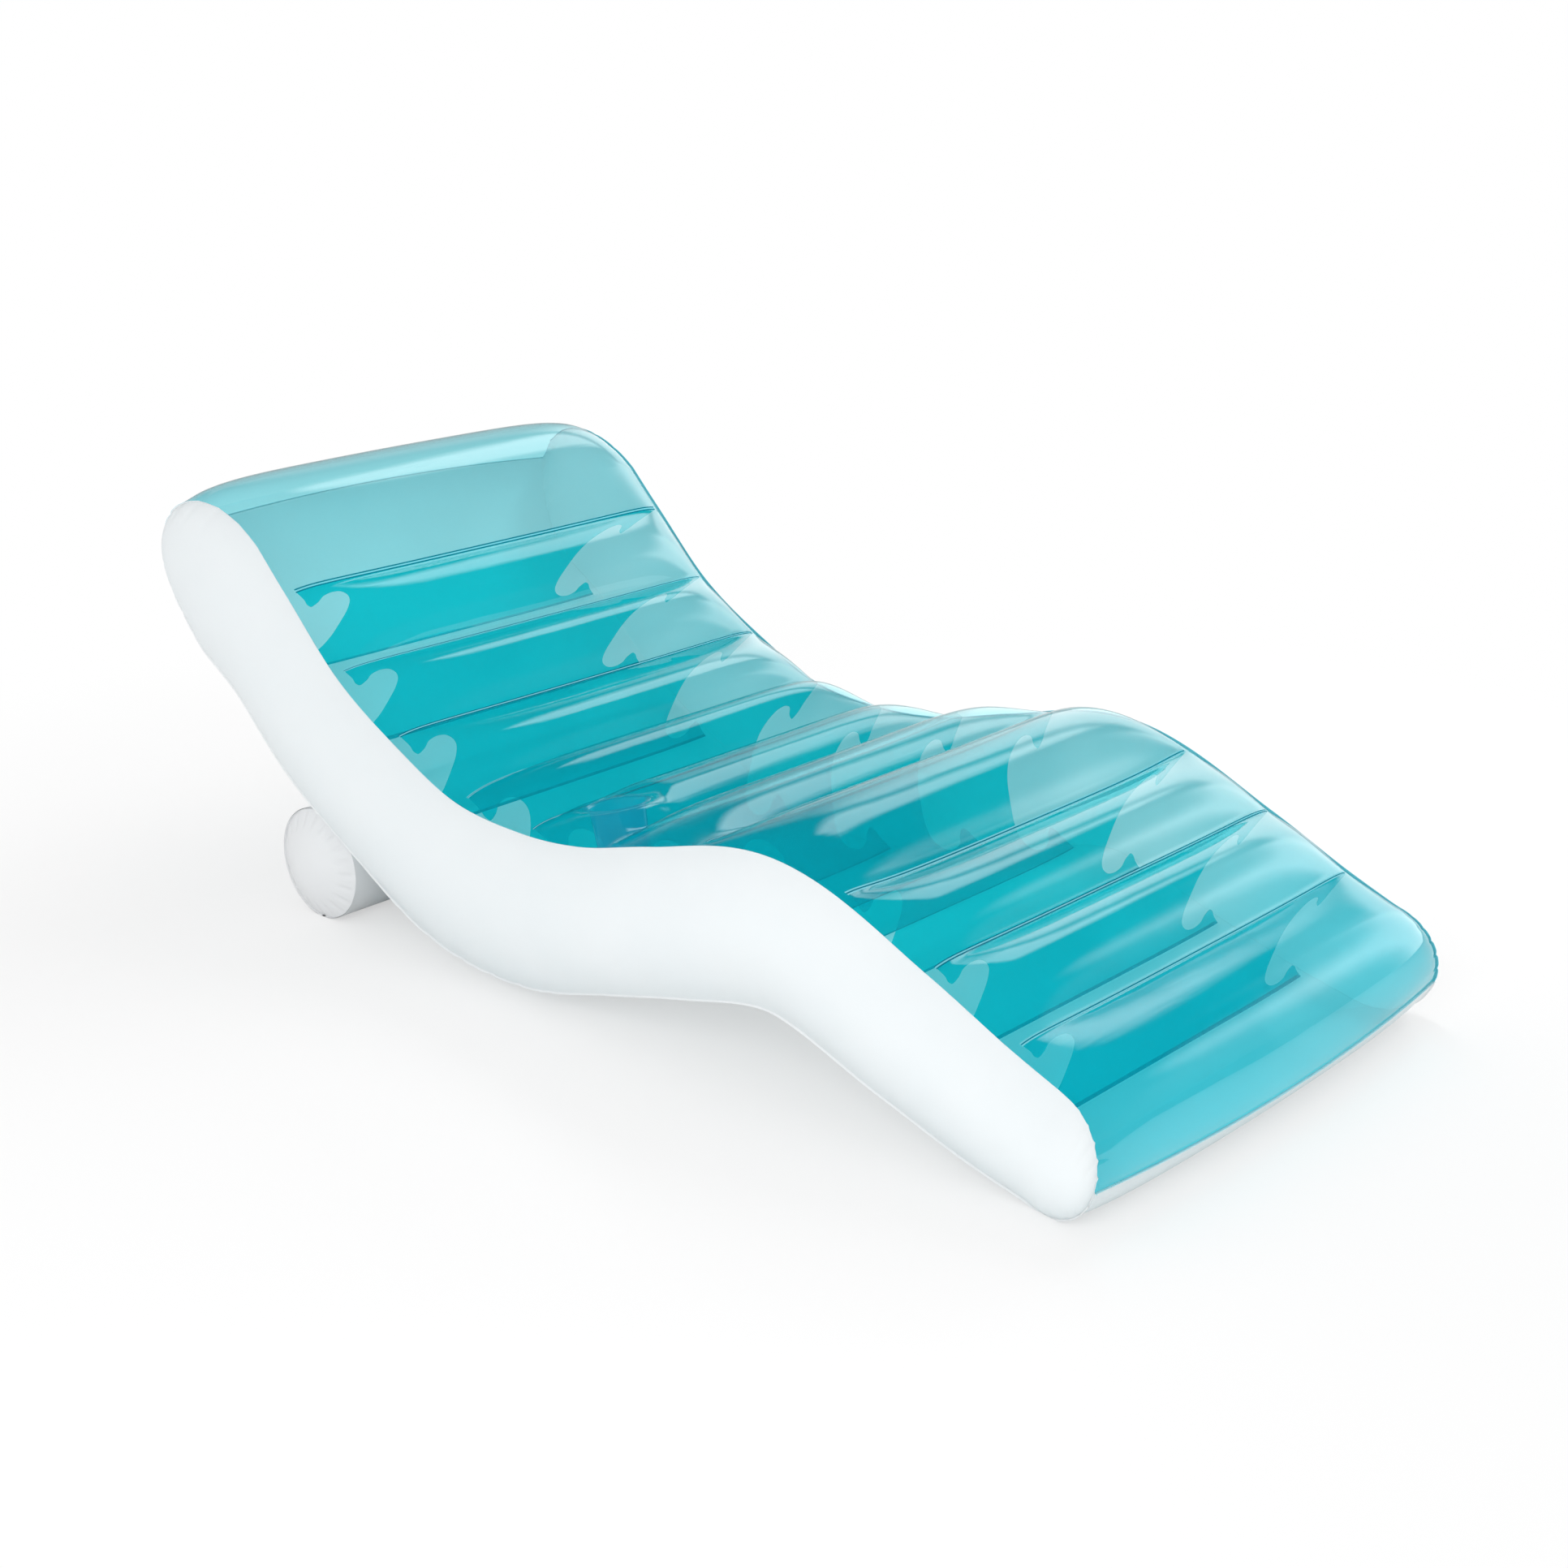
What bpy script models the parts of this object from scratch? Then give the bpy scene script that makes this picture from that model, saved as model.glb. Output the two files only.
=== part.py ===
"""Inflatable floating lounge mat with a bolster under its back, at its inflated size.

Metres, +Z up. The head is at -X and the foot at +X, and the right hand of
someone lying on the mat is at -Y. The mat is a top sheet, a bottom sheet and
two side panels, which baffles hold to an S-shaped section. Sheets and panels
meet at welded lips, inner face to inner face.
"""

import math

import bmesh
import bpy
import numpy as np
from mathutils import Matrix, Vector

# Section of the mat, seen from its side
body_length = 1.91
body_height = 0.665
seam_width = 0.83
thickness = 0.25
# Midline from head to foot: shares of the length, of the height and of the thickness
midline_shares = (
    (-0.405, 0.764, 1.040),
    (-0.372, 0.686, 0.968),
    (-0.304, 0.503, 0.946),
    (-0.225, 0.364, 0.950),
    (-0.141, 0.251, 0.995),
    (-0.052, 0.228, 0.977),
    (0.026, 0.263, 0.879),
    (0.105, 0.320, 0.875),
    (0.204, 0.376, 0.887),
    (0.330, 0.260, 0.828),
    (0.401, 0.181, 0.752),
    (0.453, 0.133, 0.686),
)
# Baffles along the midline, from head to foot
baffle_shares = (0.0506, 0.1402, 0.2375, 0.3496, 0.4559, 0.5640, 0.6669, 0.7741, 0.8631, 0.9495)
# Rounded ends: how far each reaches beyond the midline, as a share of its half thickness
head_reach_share = 1.42
foot_reach_share = 1.0
# Where the end seams lie, as angles below the midline's ends
head_seam_turn = math.radians(15)
foot_seam_turn = math.radians(-3)
# How much wider the corners are, on each side
head_flare = 0.008
foot_flare = 0.020
flare_length = 0.10
flare_power = 1.5

# Vinyl and its welds
vinyl = 0.0005
weld_gap = 0.0003
lip = 0.004
weld_band = 0.006
# How deep a web's edge reaches into its weld strip, as a share of the vinyl
web_bite_share = 0.6

# How far air pushes each surface out
top_crest_share = 0.215
bottom_crest_share = 0.1
crest_power = 6
top_end_crest = 0.016
bottom_end_crest = 0.006
# How far the top sheet stands above its side seams in the middle: at the head, at each weld and at the foot
top_rises = (0.012, 0.012, 0.013, 0.013, 0.028, 0.012, 0.003, -0.007, -0.008, 0.010, 0.006, 0.010)
bottom_rise = 0.006
# How far it stands up over the webs' cut ends, and powers of the fall towards the seam and the middle
lobe_rise = 0.012
lobe_outer_power = 16
lobe_inner_power = 4
end_crown = 0.022
panel_bulge = 0.042
# Powers of the bulge's falling off to the seams: the lower, the fuller
panel_power = 0.9
panel_end_power = 0.55
seam_above_floor = 0.002

# Baffle webs
web_half_width_share = 0.964
end_cut = 0.143
# A web's end from a sheet to mid height: shares of the cut's depth and of half the height
end_cut_shares = (
    (0.0, 0.0),
    (0.19, 0.22),
    (0.30, 0.37),
    (0.37, 0.42),
    (0.43, 0.35),
    (0.46, 0.22),
    (0.53, 0.18),
    (0.65, 0.19),
    (0.80, 0.29),
    (0.92, 0.45),
    (0.985, 0.68),
    (1.0, 1.0),
)

# Cup holder, on the right, in the chamber before the knee
cup_chamber = 5
cup_bore = 0.084
cup_depth = 0.070
cup_rim = 0.009
cup_draft = 0.003
cup_corner = 0.006
cup_clearance = 0.0005

# Bolster
bolster_diameter = 0.187
bolster_length = 0.80
bolster_dome = 0.034
# Where its axis lies along the mat, as a share of the length
bolster_place_share = -0.307
# How far the underside's facets are kept off it, so that they clear it between their corners
facet_allowance = 0.003

# Air valves
valve_chamber = 1
valve_disc = 0.036
valve_wall = 0.0008
boot_diameter = 0.0205
boot_depth = 0.017
boot_clearance = 0.0004
stem_diameter = 0.017
stem_bore = 0.009
stem_length = 0.018
stem_travel_room = 0.0003
collar_diameter = 0.020
collar_height = 0.0015
cap_diameter = 0.015
cap_height = 0.0018
stopper_length = 0.006
stopper_taper = 0.0012
stopper_clearance = 0.0002
strap_width = 0.005
strap_reach = 0.0045
strap_thickness = 0.0010
joint_overlap = 0.001

# Grids and steps that the curved surfaces are drawn with
midline_steps = 60
chamber_shares = (0.2, 0.5, 0.8)
row_shares = (0.0, 0.602, 0.867, web_half_width_share, 1.0)
panel_row_shares = (-1.0, -0.75, 0.0, 0.75, 1.0)
head_turns = 4
foot_turns = 3
end_chamber_steps = 2
cup_segments = 32
bolster_segments = 32
dome_rings = 4
valve_segments = 24
merge_distance = 0.00001
cutter_height = 0.03

half_width = seam_width / 2
quarter_turn = math.pi / 2


def principled(name, colour, roughness, alpha):
    material = bpy.data.materials.new(name)
    material.use_nodes = True
    shader = material.node_tree.nodes["Principled BSDF"]
    shader.inputs["Base Color"].default_value = (*colour, 1)
    shader.inputs["Roughness"].default_value = roughness
    shader.inputs["Metallic"].default_value = 0
    shader.inputs["Alpha"].default_value = alpha
    material.diffuse_color = (*colour, alpha)
    return material


def add_object(name, mesh, material, collection):
    obj = bpy.data.objects.new(name, mesh)
    collection.objects.link(obj)
    if material:
        mesh.materials.append(material)
    return obj


def add_cutter(name, mesh, collection):
    cutter = add_object(name, mesh, None, collection)
    cutter.hide_render = True
    cutter.display_type = "WIRE"
    return cutter


def solidify(obj, thickness, offset):
    """Gives a surface its wall: offset 1 along its normals, -1 against them, 0 to both sides."""
    wall = obj.modifiers.new("wall", "SOLIDIFY")
    wall.thickness = thickness
    wall.offset = offset
    wall.use_even_offset = True


def boolean(obj, operation, other):
    cut = obj.modifiers.new(operation.lower(), "BOOLEAN")
    cut.operation = operation
    cut.object = other


def smooth_path(knots, steps):
    """Points on a curve of continuous direction through knots that are unevenly spaced."""
    chords = np.linalg.norm(np.diff(knots, axis=0), axis=1)[:, None]
    slopes = np.diff(knots, axis=0) / chords
    inner = (slopes[:-1] * chords[1:] + slopes[1:] * chords[:-1]) / (chords[:-1] + chords[1:])
    directions = np.vstack([slopes[:1], inner, slopes[-1:]])
    share = (np.arange(steps) / steps)[:, None]
    points = []
    for index, chord in enumerate(chords):
        leave, arrive = directions[index] * chord, directions[index + 1] * chord
        points.append(
            (2 * share**3 - 3 * share**2 + 1) * knots[index]
            + (share**3 - 2 * share**2 + share) * leave
            + (3 * share**2 - 2 * share**3) * knots[index + 1]
            + (share**3 - share**2) * arrive
        )
    return np.vstack([*points, knots[-1:]])


class Section:
    """The S-shaped midline, with the thickness that the baffles give the mat along it."""

    def __init__(self):
        knots = np.array(midline_shares) * (body_length, body_height, thickness / 2)
        path = smooth_path(knots, midline_steps)
        self.points, self.radii = path[:, :2], path[:, 2]
        steps = np.linalg.norm(np.diff(self.points, axis=0), axis=1)
        self.distances = np.concatenate([[0], np.cumsum(steps)])
        self.length = self.distances[-1]
        directions = np.gradient(self.points, self.distances, axis=0)
        self.directions = directions / np.linalg.norm(directions, axis=1)[:, None]
        self.welds = [share * self.length for share in baffle_shares]
        bolster_height = bolster_diameter / 2 * math.cos(math.pi / bolster_segments)
        self.bolster = Vector((bolster_place_share * body_length, 0, bolster_height))

    def at(self, distance):
        """Point, direction and upward normal at this distance from the midline's head end."""
        x, z = (np.interp(distance, self.distances, self.points[:, axis]) for axis in (0, 1))
        u, w = (np.interp(distance, self.distances, self.directions[:, axis]) for axis in (0, 1))
        direction = Vector((u, 0, w)).normalized()
        return Vector((x, 0, z)), direction, Vector((-direction.z, 0, direction.x))

    def room_to_bolster(self, rim, out):
        """How far the underside can bulge from this point before it presses on the bolster."""
        away = rim - self.bolster
        nearing = -away.dot(out)
        reach = bolster_diameter / 2 + vinyl + weld_gap + facet_allowance
        inside = nearing**2 - away.length_squared + reach**2
        if nearing < 0 or inside < 0:
            return math.inf
        return max(nearing - math.sqrt(inside), 0)

    def radius(self, distance):
        return float(np.interp(distance, self.distances, self.radii))

    def end_arc(self, end, turn):
        """Length of a sheet round an end, from where the end begins to this turn."""
        radius = self.radii[0] if end < 0 else self.radii[-1]
        return radius * (1 + reach_share(end)) / 2 * (quarter_turn - turn)

    def crest(self, place, face):
        """How far air lifts a sheet between the welds here, at the middle of the mat."""
        head_seam = -self.end_arc(-1, seam_turn(-1, face))
        foot_seam = self.length + self.end_arc(1, seam_turn(1, face))
        ends = [head_seam, *self.welds, foot_seam]
        index = int(np.clip(np.searchsorted(ends, place, side="right"), 1, len(ends) - 1))
        start, end = ends[index - 1], ends[index]
        whole = 1 < index < len(ends) - 1
        if index < len(ends) - 1:
            end -= weld_band
        along = min(max((place - start) / (end - start), 0), 1)
        share = top_crest_share if face > 0 else bottom_crest_share
        end_crest = top_end_crest if face > 0 else bottom_end_crest
        height = share * (end - start) if whole else end_crest
        return height * 4 * along * (1 - along)

    def rise(self, distance, across, face):
        """How far a sheet stands off its side seams along a weld here, at this share of the half width."""
        lift = bottom_rise
        lobe = 0
        if face > 0:
            lift = float(np.interp(distance, [0, *self.welds, self.length], top_rises))
            lobe = lobe_rise * (1 - across**lobe_outer_power) * across**lobe_inner_power
        return lift * (1 - across**crest_power) + lobe


def reach_share(end):
    return head_reach_share if end < 0 else foot_reach_share


def seam_turn(end, face):
    """Turn from the midline to an end's seam, towards this face."""
    return -face * (head_seam_turn if end < 0 else foot_seam_turn)


class Column:
    """A line across the mat: at a distance along the midline, or part of the way round one of its ends."""

    def __init__(self, distance, end=0, wrap=0, lip_out=0):
        """Wrap is the share of the way from where the end begins to its seam."""
        self.distance, self.end, self.wrap, self.lip_out = distance, end, wrap, lip_out

    def turn(self, face):
        return quarter_turn - (quarter_turn - seam_turn(self.end, face)) * self.wrap

    def rim(self, section, face, radius, turn_short=0):
        """Point of the mat's outline on this face, with the direction that points out of the mat there."""
        centre, direction, normal = section.at(self.distance)
        turn = self.turn(face) + turn_short * self.wrap
        outward = direction * self.end
        reach = reach_share(self.end)
        rim = outward * math.cos(turn) * reach + normal * (face * math.sin(turn))
        out = outward * math.cos(turn) / reach + normal * (face * math.sin(turn))
        return centre + rim * radius, out.normalized()

    def half_width(self, section):
        """Half of the mat's width between its side seams, which flare towards the corners."""
        if not self.end:
            reach = 0
            near_end = -1 if self.distance < section.length / 2 else 1
        else:
            near_end = self.end
            reach = section.radius(self.distance) * reach_share(near_end) * math.cos(self.turn(1))
        to_end = self.distance if near_end < 0 else section.length - self.distance
        whole_reach = section.radius(0 if near_end < 0 else section.length) * reach_share(near_end)
        share = min(max(1 - (to_end + whole_reach - reach) / flare_length, 0), 1) ** flare_power
        return half_width + (head_flare if near_end < 0 else foot_flare) * share


def mat_columns(section):
    columns = [Column(0, -1, 1, lip)]
    columns += [Column(0, -1, 1 - step / head_turns) for step in range(head_turns)]
    first, last = section.welds[0], section.welds[-1]
    steps = [step / end_chamber_steps for step in range(end_chamber_steps + 1)]
    columns += [Column((first - weld_band) * step) for step in steps]
    for start, end in zip(section.welds[:-1], section.welds[1:]):
        head_side = end - weld_band
        columns += [Column(start + (head_side - start) * share) for share in (0, *chamber_shares, 1)]
    columns += [Column(last + (section.length - last) * step) for step in steps]
    columns += [Column(section.length, 1, (step + 1) / foot_turns) for step in range(foot_turns)]
    columns.append(Column(section.length, 1, 1, lip))
    return columns


def weld_column(baffle):
    """Index of the column on this baffle's web, counting baffles from 0 at the head."""
    return 2 + head_turns + end_chamber_steps + baffle * (2 + len(chamber_shares))


def sheet_rows():
    """Rows across a sheet: each one's share of the half width, and how far it lies past it."""
    half = [(share, 0) for share in row_shares] + [(1, lip)]
    return [(-share, -past) for share, past in reversed(half[1:])] + half


def sheet_point(section, column, row, face):
    """A point of a sheet's inner face: face is 1 for the top sheet and -1 for the bottom one."""
    share, past = row
    across = abs(share)
    radius = section.radius(column.distance)
    rim, out = column.rim(section, face, radius, weld_gap / (2 * radius))
    _, direction, _ = section.at(column.distance)
    crown = end_crown * (1 - across**2) * column.wrap**2 * column.end
    rise = section.rise(column.distance, across, face) * (1 - column.wrap**2)
    place = column.distance + column.end * section.end_arc(column.end, column.turn(face))
    crest = section.crest(place, face) * (1 - across**crest_power)
    bulge = rise + crest
    if face < 0:
        bulge = min(bulge, section.room_to_bolster(rim, out))
    point = rim + out * (weld_gap / 2 + bulge + column.lip_out) + direction * crown
    return Vector((point.x, share * column.half_width(section) + past, point.z))


def sheet_grid(section, face):
    """Inner face of a sheet, by column and row."""
    rows = sheet_rows()
    return [[sheet_point(section, column, row, face) for row in rows] for column in mat_columns(section)]


def stand_on_floor(section):
    """Moves the midline so that the mat is centred over the origin and its lowest seam is just off the floor."""
    top, bottom = (sheet_grid(section, face) for face in (1, -1))
    xs = [point.x for grid in (top, bottom) for line in grid for point in line]
    lowest_seam = min(line[0].z for line in bottom) - vinyl
    middle = (min(xs) + max(xs)) / 2
    section.points = section.points - (middle, lowest_seam - seam_above_floor)
    section.bolster.x -= middle


def press_on_floor(grid):
    for line in grid:
        for point in line:
            point.z = max(point.z, vinyl)


class Patch:
    """A flat patch in a chamber's crest, where a fitting is welded to a sheet."""

    def __init__(self, section, grid, chamber, face, side):
        """Flattens the grid between its second and third rows out from the middle, on this side."""
        first = weld_column(chamber - 1) + 1
        columns = range(first, first + len(chamber_shares))
        middle = len(row_shares)
        rows = (middle + side, middle + 2 * side)
        self.normal = section.at(mat_columns(section)[first + 1].distance)[2] * face
        points = [grid[column][row] for column in columns for row in rows]
        self.inner = sum(points, Vector()) / len(points)
        self.outer = self.inner + self.normal * vinyl
        for column in columns:
            for row in rows:
                point = grid[column][row]
                grid[column][row] = point - self.normal * (point - self.inner).dot(self.normal)


def grid_mesh(name, points, flip):
    """A mesh of this grid of points, with the points that coincide merged."""
    columns, rows = len(points) - 1, len(points[0]) - 1
    bm = bmesh.new()
    bmesh.ops.create_grid(bm, x_segments=columns, y_segments=rows, size=1)
    for vert in bm.verts:
        column = round((vert.co.x + 1) / 2 * columns)
        row = round((vert.co.y + 1) / 2 * rows)
        vert.co = points[column][row]
    bmesh.ops.remove_doubles(bm, verts=bm.verts, dist=merge_distance)
    if flip:
        bmesh.ops.reverse_faces(bm, faces=bm.faces)
    mesh = bpy.data.meshes.new(name)
    bm.to_mesh(mesh)
    bm.free()
    mesh.shade_smooth()
    return mesh


def panel_point(section, column, row, past, side):
    """A point of a side panel's inner face, which bulges between the two seams."""
    radius = section.radius(column.distance)
    top, bottom = (column.rim(section, face, radius - weld_gap / 2)[0] for face in (1, -1))
    point = (top + bottom) / 2 + (top - bottom) * (row / 2)
    fullness = (top - bottom).length / (2 * radius)
    power = panel_power + (panel_end_power - panel_power) * column.wrap
    bulge = panel_bulge * (1 - row**2) ** power * fullness
    return Vector((point.x, side * (column.half_width(section) + bulge + past), point.z))


def side_panel(name, section, side, material, collection):
    rows = [(row, 0) for row in panel_row_shares]
    rows = [(rows[0][0], lip), *rows, (rows[-1][0], lip)]
    columns = [column for column in mat_columns(section) if not column.lip_out]
    points = [[panel_point(section, column, *row, side) for row in rows] for column in columns]
    panel = add_object(name, grid_mesh(name, points, side > 0), material, collection)
    solidify(panel, vinyl, 1)
    return panel


def line_at(line, y):
    """Point of a column's line at this distance across the mat."""
    ys = [point.y for point in line]
    return Vector([float(np.interp(y, ys, [point[axis] for point in line])) for axis in range(3)])


def web_edge_rows():
    """Distances across the mat at which a web's welded edge turns, from right to left."""
    half = [half_width * share for share in row_shares[:-1]]
    return [-y for y in reversed(half[1:])] + half


def weld_strip(name, section, grid, baffle, face, collection):
    """The strip on a web's head side that is welded flat to a sheet, as a helper to be joined to the web."""
    column = weld_column(baffle)
    _, direction, normal = section.at(section.welds[baffle])
    inward = -normal * face
    right, *between, left = web_edge_rows()
    ys = [right + joint_overlap, *between, left - joint_overlap]
    points = []
    for line, past in ((grid[column - 1], 0), (grid[column], joint_overlap)):
        points.append([line_at(line, y) + inward * weld_gap + direction * past for y in ys])
    strip = add_cutter(name, grid_mesh(name, points, face > 0), collection)
    solidify(strip, vinyl, 1)
    return strip


def web_outline(section, grids, baffle):
    """A web's outline, as distances across the mat and up from the midline, anticlockwise from its foot."""
    centre, _, normal = section.at(section.welds[baffle])
    inset = weld_gap + vinyl * web_bite_share
    edges = {}
    for face, grid in grids.items():
        line = grid[weld_column(baffle)]
        edges[face] = [
            (y, (line_at(line, y) - centre).dot(normal) - inset * face) for y in web_edge_rows()
        ]
    end_y = edges[1][-1][0]
    top, bottom = edges[1][-1][1], edges[-1][-1][1]
    middle = (top + bottom) / 2
    left_end = []
    for sheet in (bottom, top):
        cut = [(end_y - end_cut * a, sheet + (middle - sheet) * b) for a, b in end_cut_shares[1:]]
        left_end += cut if sheet == bottom else list(reversed(cut))[1:]
    right_end = [(-y, height) for y, height in reversed(left_end)]
    return [*edges[-1], *left_end, *reversed(edges[1]), *right_end]


def corners(outline):
    """The points of an outline, without those in line with their neighbours."""
    kept = []
    for index, point in enumerate(outline):
        before, after = Vector(outline[index - 1]), Vector(outline[(index + 1) % len(outline)])
        run = after - before
        if abs(run.cross(Vector(point) - before)) > merge_distance * run.length:
            kept.append(point)
    return kept


def flat_shape(name, outline, place, material, collection):
    """A flat piece of vinyl with this outline, in the placement's X and Y."""
    outline = corners(outline)
    curve = bpy.data.curves.new(f"{name}_outline", "CURVE")
    curve.dimensions = "2D"
    curve.fill_mode = "BOTH"
    curve.extrude = vinyl / 2
    spline = curve.splines.new("POLY")
    spline.points.add(len(outline) - 1)
    for point, (x, y) in zip(spline.points, outline):
        point.co = (x, y, 0, 1)
    spline.use_cyclic_u = True
    drawn = add_object(f"{name}_drawn", curve, None, collection)
    bpy.context.view_layer.update()
    evaluated = drawn.evaluated_get(bpy.context.evaluated_depsgraph_get())
    mesh = bpy.data.meshes.new_from_object(evaluated)
    mesh.name = name
    bm = bmesh.new()
    bm.from_mesh(mesh)
    bmesh.ops.remove_doubles(bm, verts=bm.verts, dist=merge_distance)
    bm.to_mesh(mesh)
    bm.free()
    bpy.data.objects.remove(drawn)
    shape = add_object(name, mesh, material, collection)
    shape.matrix_world = place
    return shape


def baffle(section, grids, index, material, collection, helpers):
    """An I-beam: a web with lobed ends, and a weld strip along each of its edges."""
    name = f"baffle_{index + 1:02d}"
    centre, direction, _ = section.at(section.welds[index])
    place = frame(centre, direction, Vector((0, 1, 0)))
    web = flat_shape(name, web_outline(section, grids, index), place, material, collection)
    for face, grid in grids.items():
        edge = "top" if face > 0 else "bottom"
        strip = weld_strip(f"{name}_{edge}_strip", section, grid, index, face, helpers)
        boolean(web, "UNION", strip)
    return web


def turned(name, profile, segments, closed, material, collection):
    """A profile of radius and height turned round Z, running down its outer side."""
    bm = bmesh.new()
    verts = [bm.verts.new((radius, 0, height)) for radius, height in profile]
    for start, end in zip(verts, verts[1:]):
        bm.edges.new((start, end))
    if closed:
        bm.edges.new((verts[-1], verts[0]))
    mesh = bpy.data.meshes.new(name)
    bm.to_mesh(mesh)
    bm.free()
    obj = add_object(name, mesh, material, collection)
    screw = obj.modifiers.new("turn", "SCREW")
    screw.axis = "Z"
    screw.steps = screw.render_steps = segments
    screw.use_merge_vertices = True
    screw.merge_threshold = merge_distance
    return obj


def box(name, low, high, material, collection):
    low, high = Vector(low), Vector(high)
    bm = bmesh.new()
    bmesh.ops.create_cube(bm, size=1)
    bmesh.ops.scale(bm, vec=high - low, verts=bm.verts)
    bmesh.ops.translate(bm, vec=(low + high) / 2, verts=bm.verts)
    mesh = bpy.data.meshes.new(name)
    bm.to_mesh(mesh)
    bm.free()
    return add_object(name, mesh, material, collection)


def frame(origin, axis, side):
    """A placement whose Z lies on the axis and whose X lies on the side."""
    axis, side = axis.normalized(), side.normalized()
    rotation = Matrix((side, axis.cross(side), axis)).transposed()
    return Matrix.Translation(origin) @ rotation.to_4x4()


def cut_hole(obj, place, radius, helpers):
    """A round hole through a sheet at this placement."""
    bm = bmesh.new()
    bmesh.ops.create_cone(
        bm,
        cap_ends=True,
        segments=cup_segments,
        radius1=radius,
        radius2=radius,
        depth=cutter_height,
    )
    mesh = bpy.data.meshes.new(f"{obj.name}_hole")
    bm.to_mesh(mesh)
    bm.free()
    cutter = add_cutter(mesh.name, mesh, helpers)
    cutter.matrix_world = place
    boolean(obj, "DIFFERENCE", cutter)


def cup_holder(place, material, collection):
    """A formed well, hung by its rim on the top sheet's flat patch."""
    wall = cup_bore / 2 + vinyl
    foot = wall - cup_draft
    profile = [
        (wall + cup_clearance + cup_rim, weld_gap),
        (wall, weld_gap),
        (foot, cup_corner - cup_depth),
        (foot - cup_corner, -cup_depth),
        (0, -cup_depth),
    ]
    well = turned("cup_holder", profile, cup_segments, False, material, collection)
    solidify(well, vinyl, -1)
    well.matrix_world = place
    return wall + cup_clearance


def bolster_centre(section, bottom_grid):
    """Where the bolster's axis passes, so that it stands on the floor and touches the mat's underside."""
    middle = len(row_shares)
    underside = [(line[middle].x, line[middle].z) for line in bottom_grid]
    radius = bolster_diameter / 2
    height = section.bolster.z
    starts, ends = np.array(underside[:-1]), np.array(underside[1:])
    runs = ends - starts

    def clearance(x):
        away = np.array((x, height)) - starts
        share = np.clip((away * runs).sum(axis=1) / (runs**2).sum(axis=1), 0, 1)[:, None]
        return np.linalg.norm(away - runs * share, axis=1).min() - radius

    clear, blocked = -body_length / 2, 0
    while abs(blocked - clear) > merge_distance:
        x = (clear + blocked) / 2
        if clearance(x) > vinyl + weld_gap:
            clear = x
        else:
            blocked = x
    return Vector((clear, 0, height))


def bolster(centre, white, collection):
    """A sleeve with a facet on the floor, and two domed end panels welded inside its ends."""
    radius = bolster_diameter / 2
    reach = bolster_length / 2 + lip
    sleeve = turned("bolster_sleeve", [(radius, reach), (radius, -reach)], bolster_segments, False, white, collection)
    solidify(sleeve, vinyl, -1)
    facet = Matrix.Rotation(math.pi / bolster_segments, 4, "Z")
    left, down = Vector((0, 1, 0)), Vector((0, 0, -1))
    sleeve.matrix_world = frame(centre, left, down) @ facet
    skirt = radius - vinyl - weld_gap
    flat = valve_disc / 2 + lip
    hole = boot_diameter / 2 + boot_clearance
    for side_name, side in (("right", -1), ("left", 1)):
        profile = [(skirt, lip), (skirt, 0)]
        for ring in range(1, dome_rings + 1):
            ring_radius = skirt + (flat - skirt) * ring / dome_rings
            profile.append((ring_radius, bolster_dome * (1 - (ring_radius / skirt) ** 2)))
        flat_height = profile[-1][1]
        profile.append((hole if side > 0 else 0, flat_height))
        end = turned(f"bolster_end_{side_name}", profile, bolster_segments, False, white, collection)
        solidify(end, vinyl, -1)
        seam = centre + left * (side * bolster_length / 2)
        end.matrix_world = frame(seam, left * side, down) @ facet
    valve_origin = centre + left * (bolster_length / 2 + flat_height + vinyl)
    return frame(valve_origin, left, -down)


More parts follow.
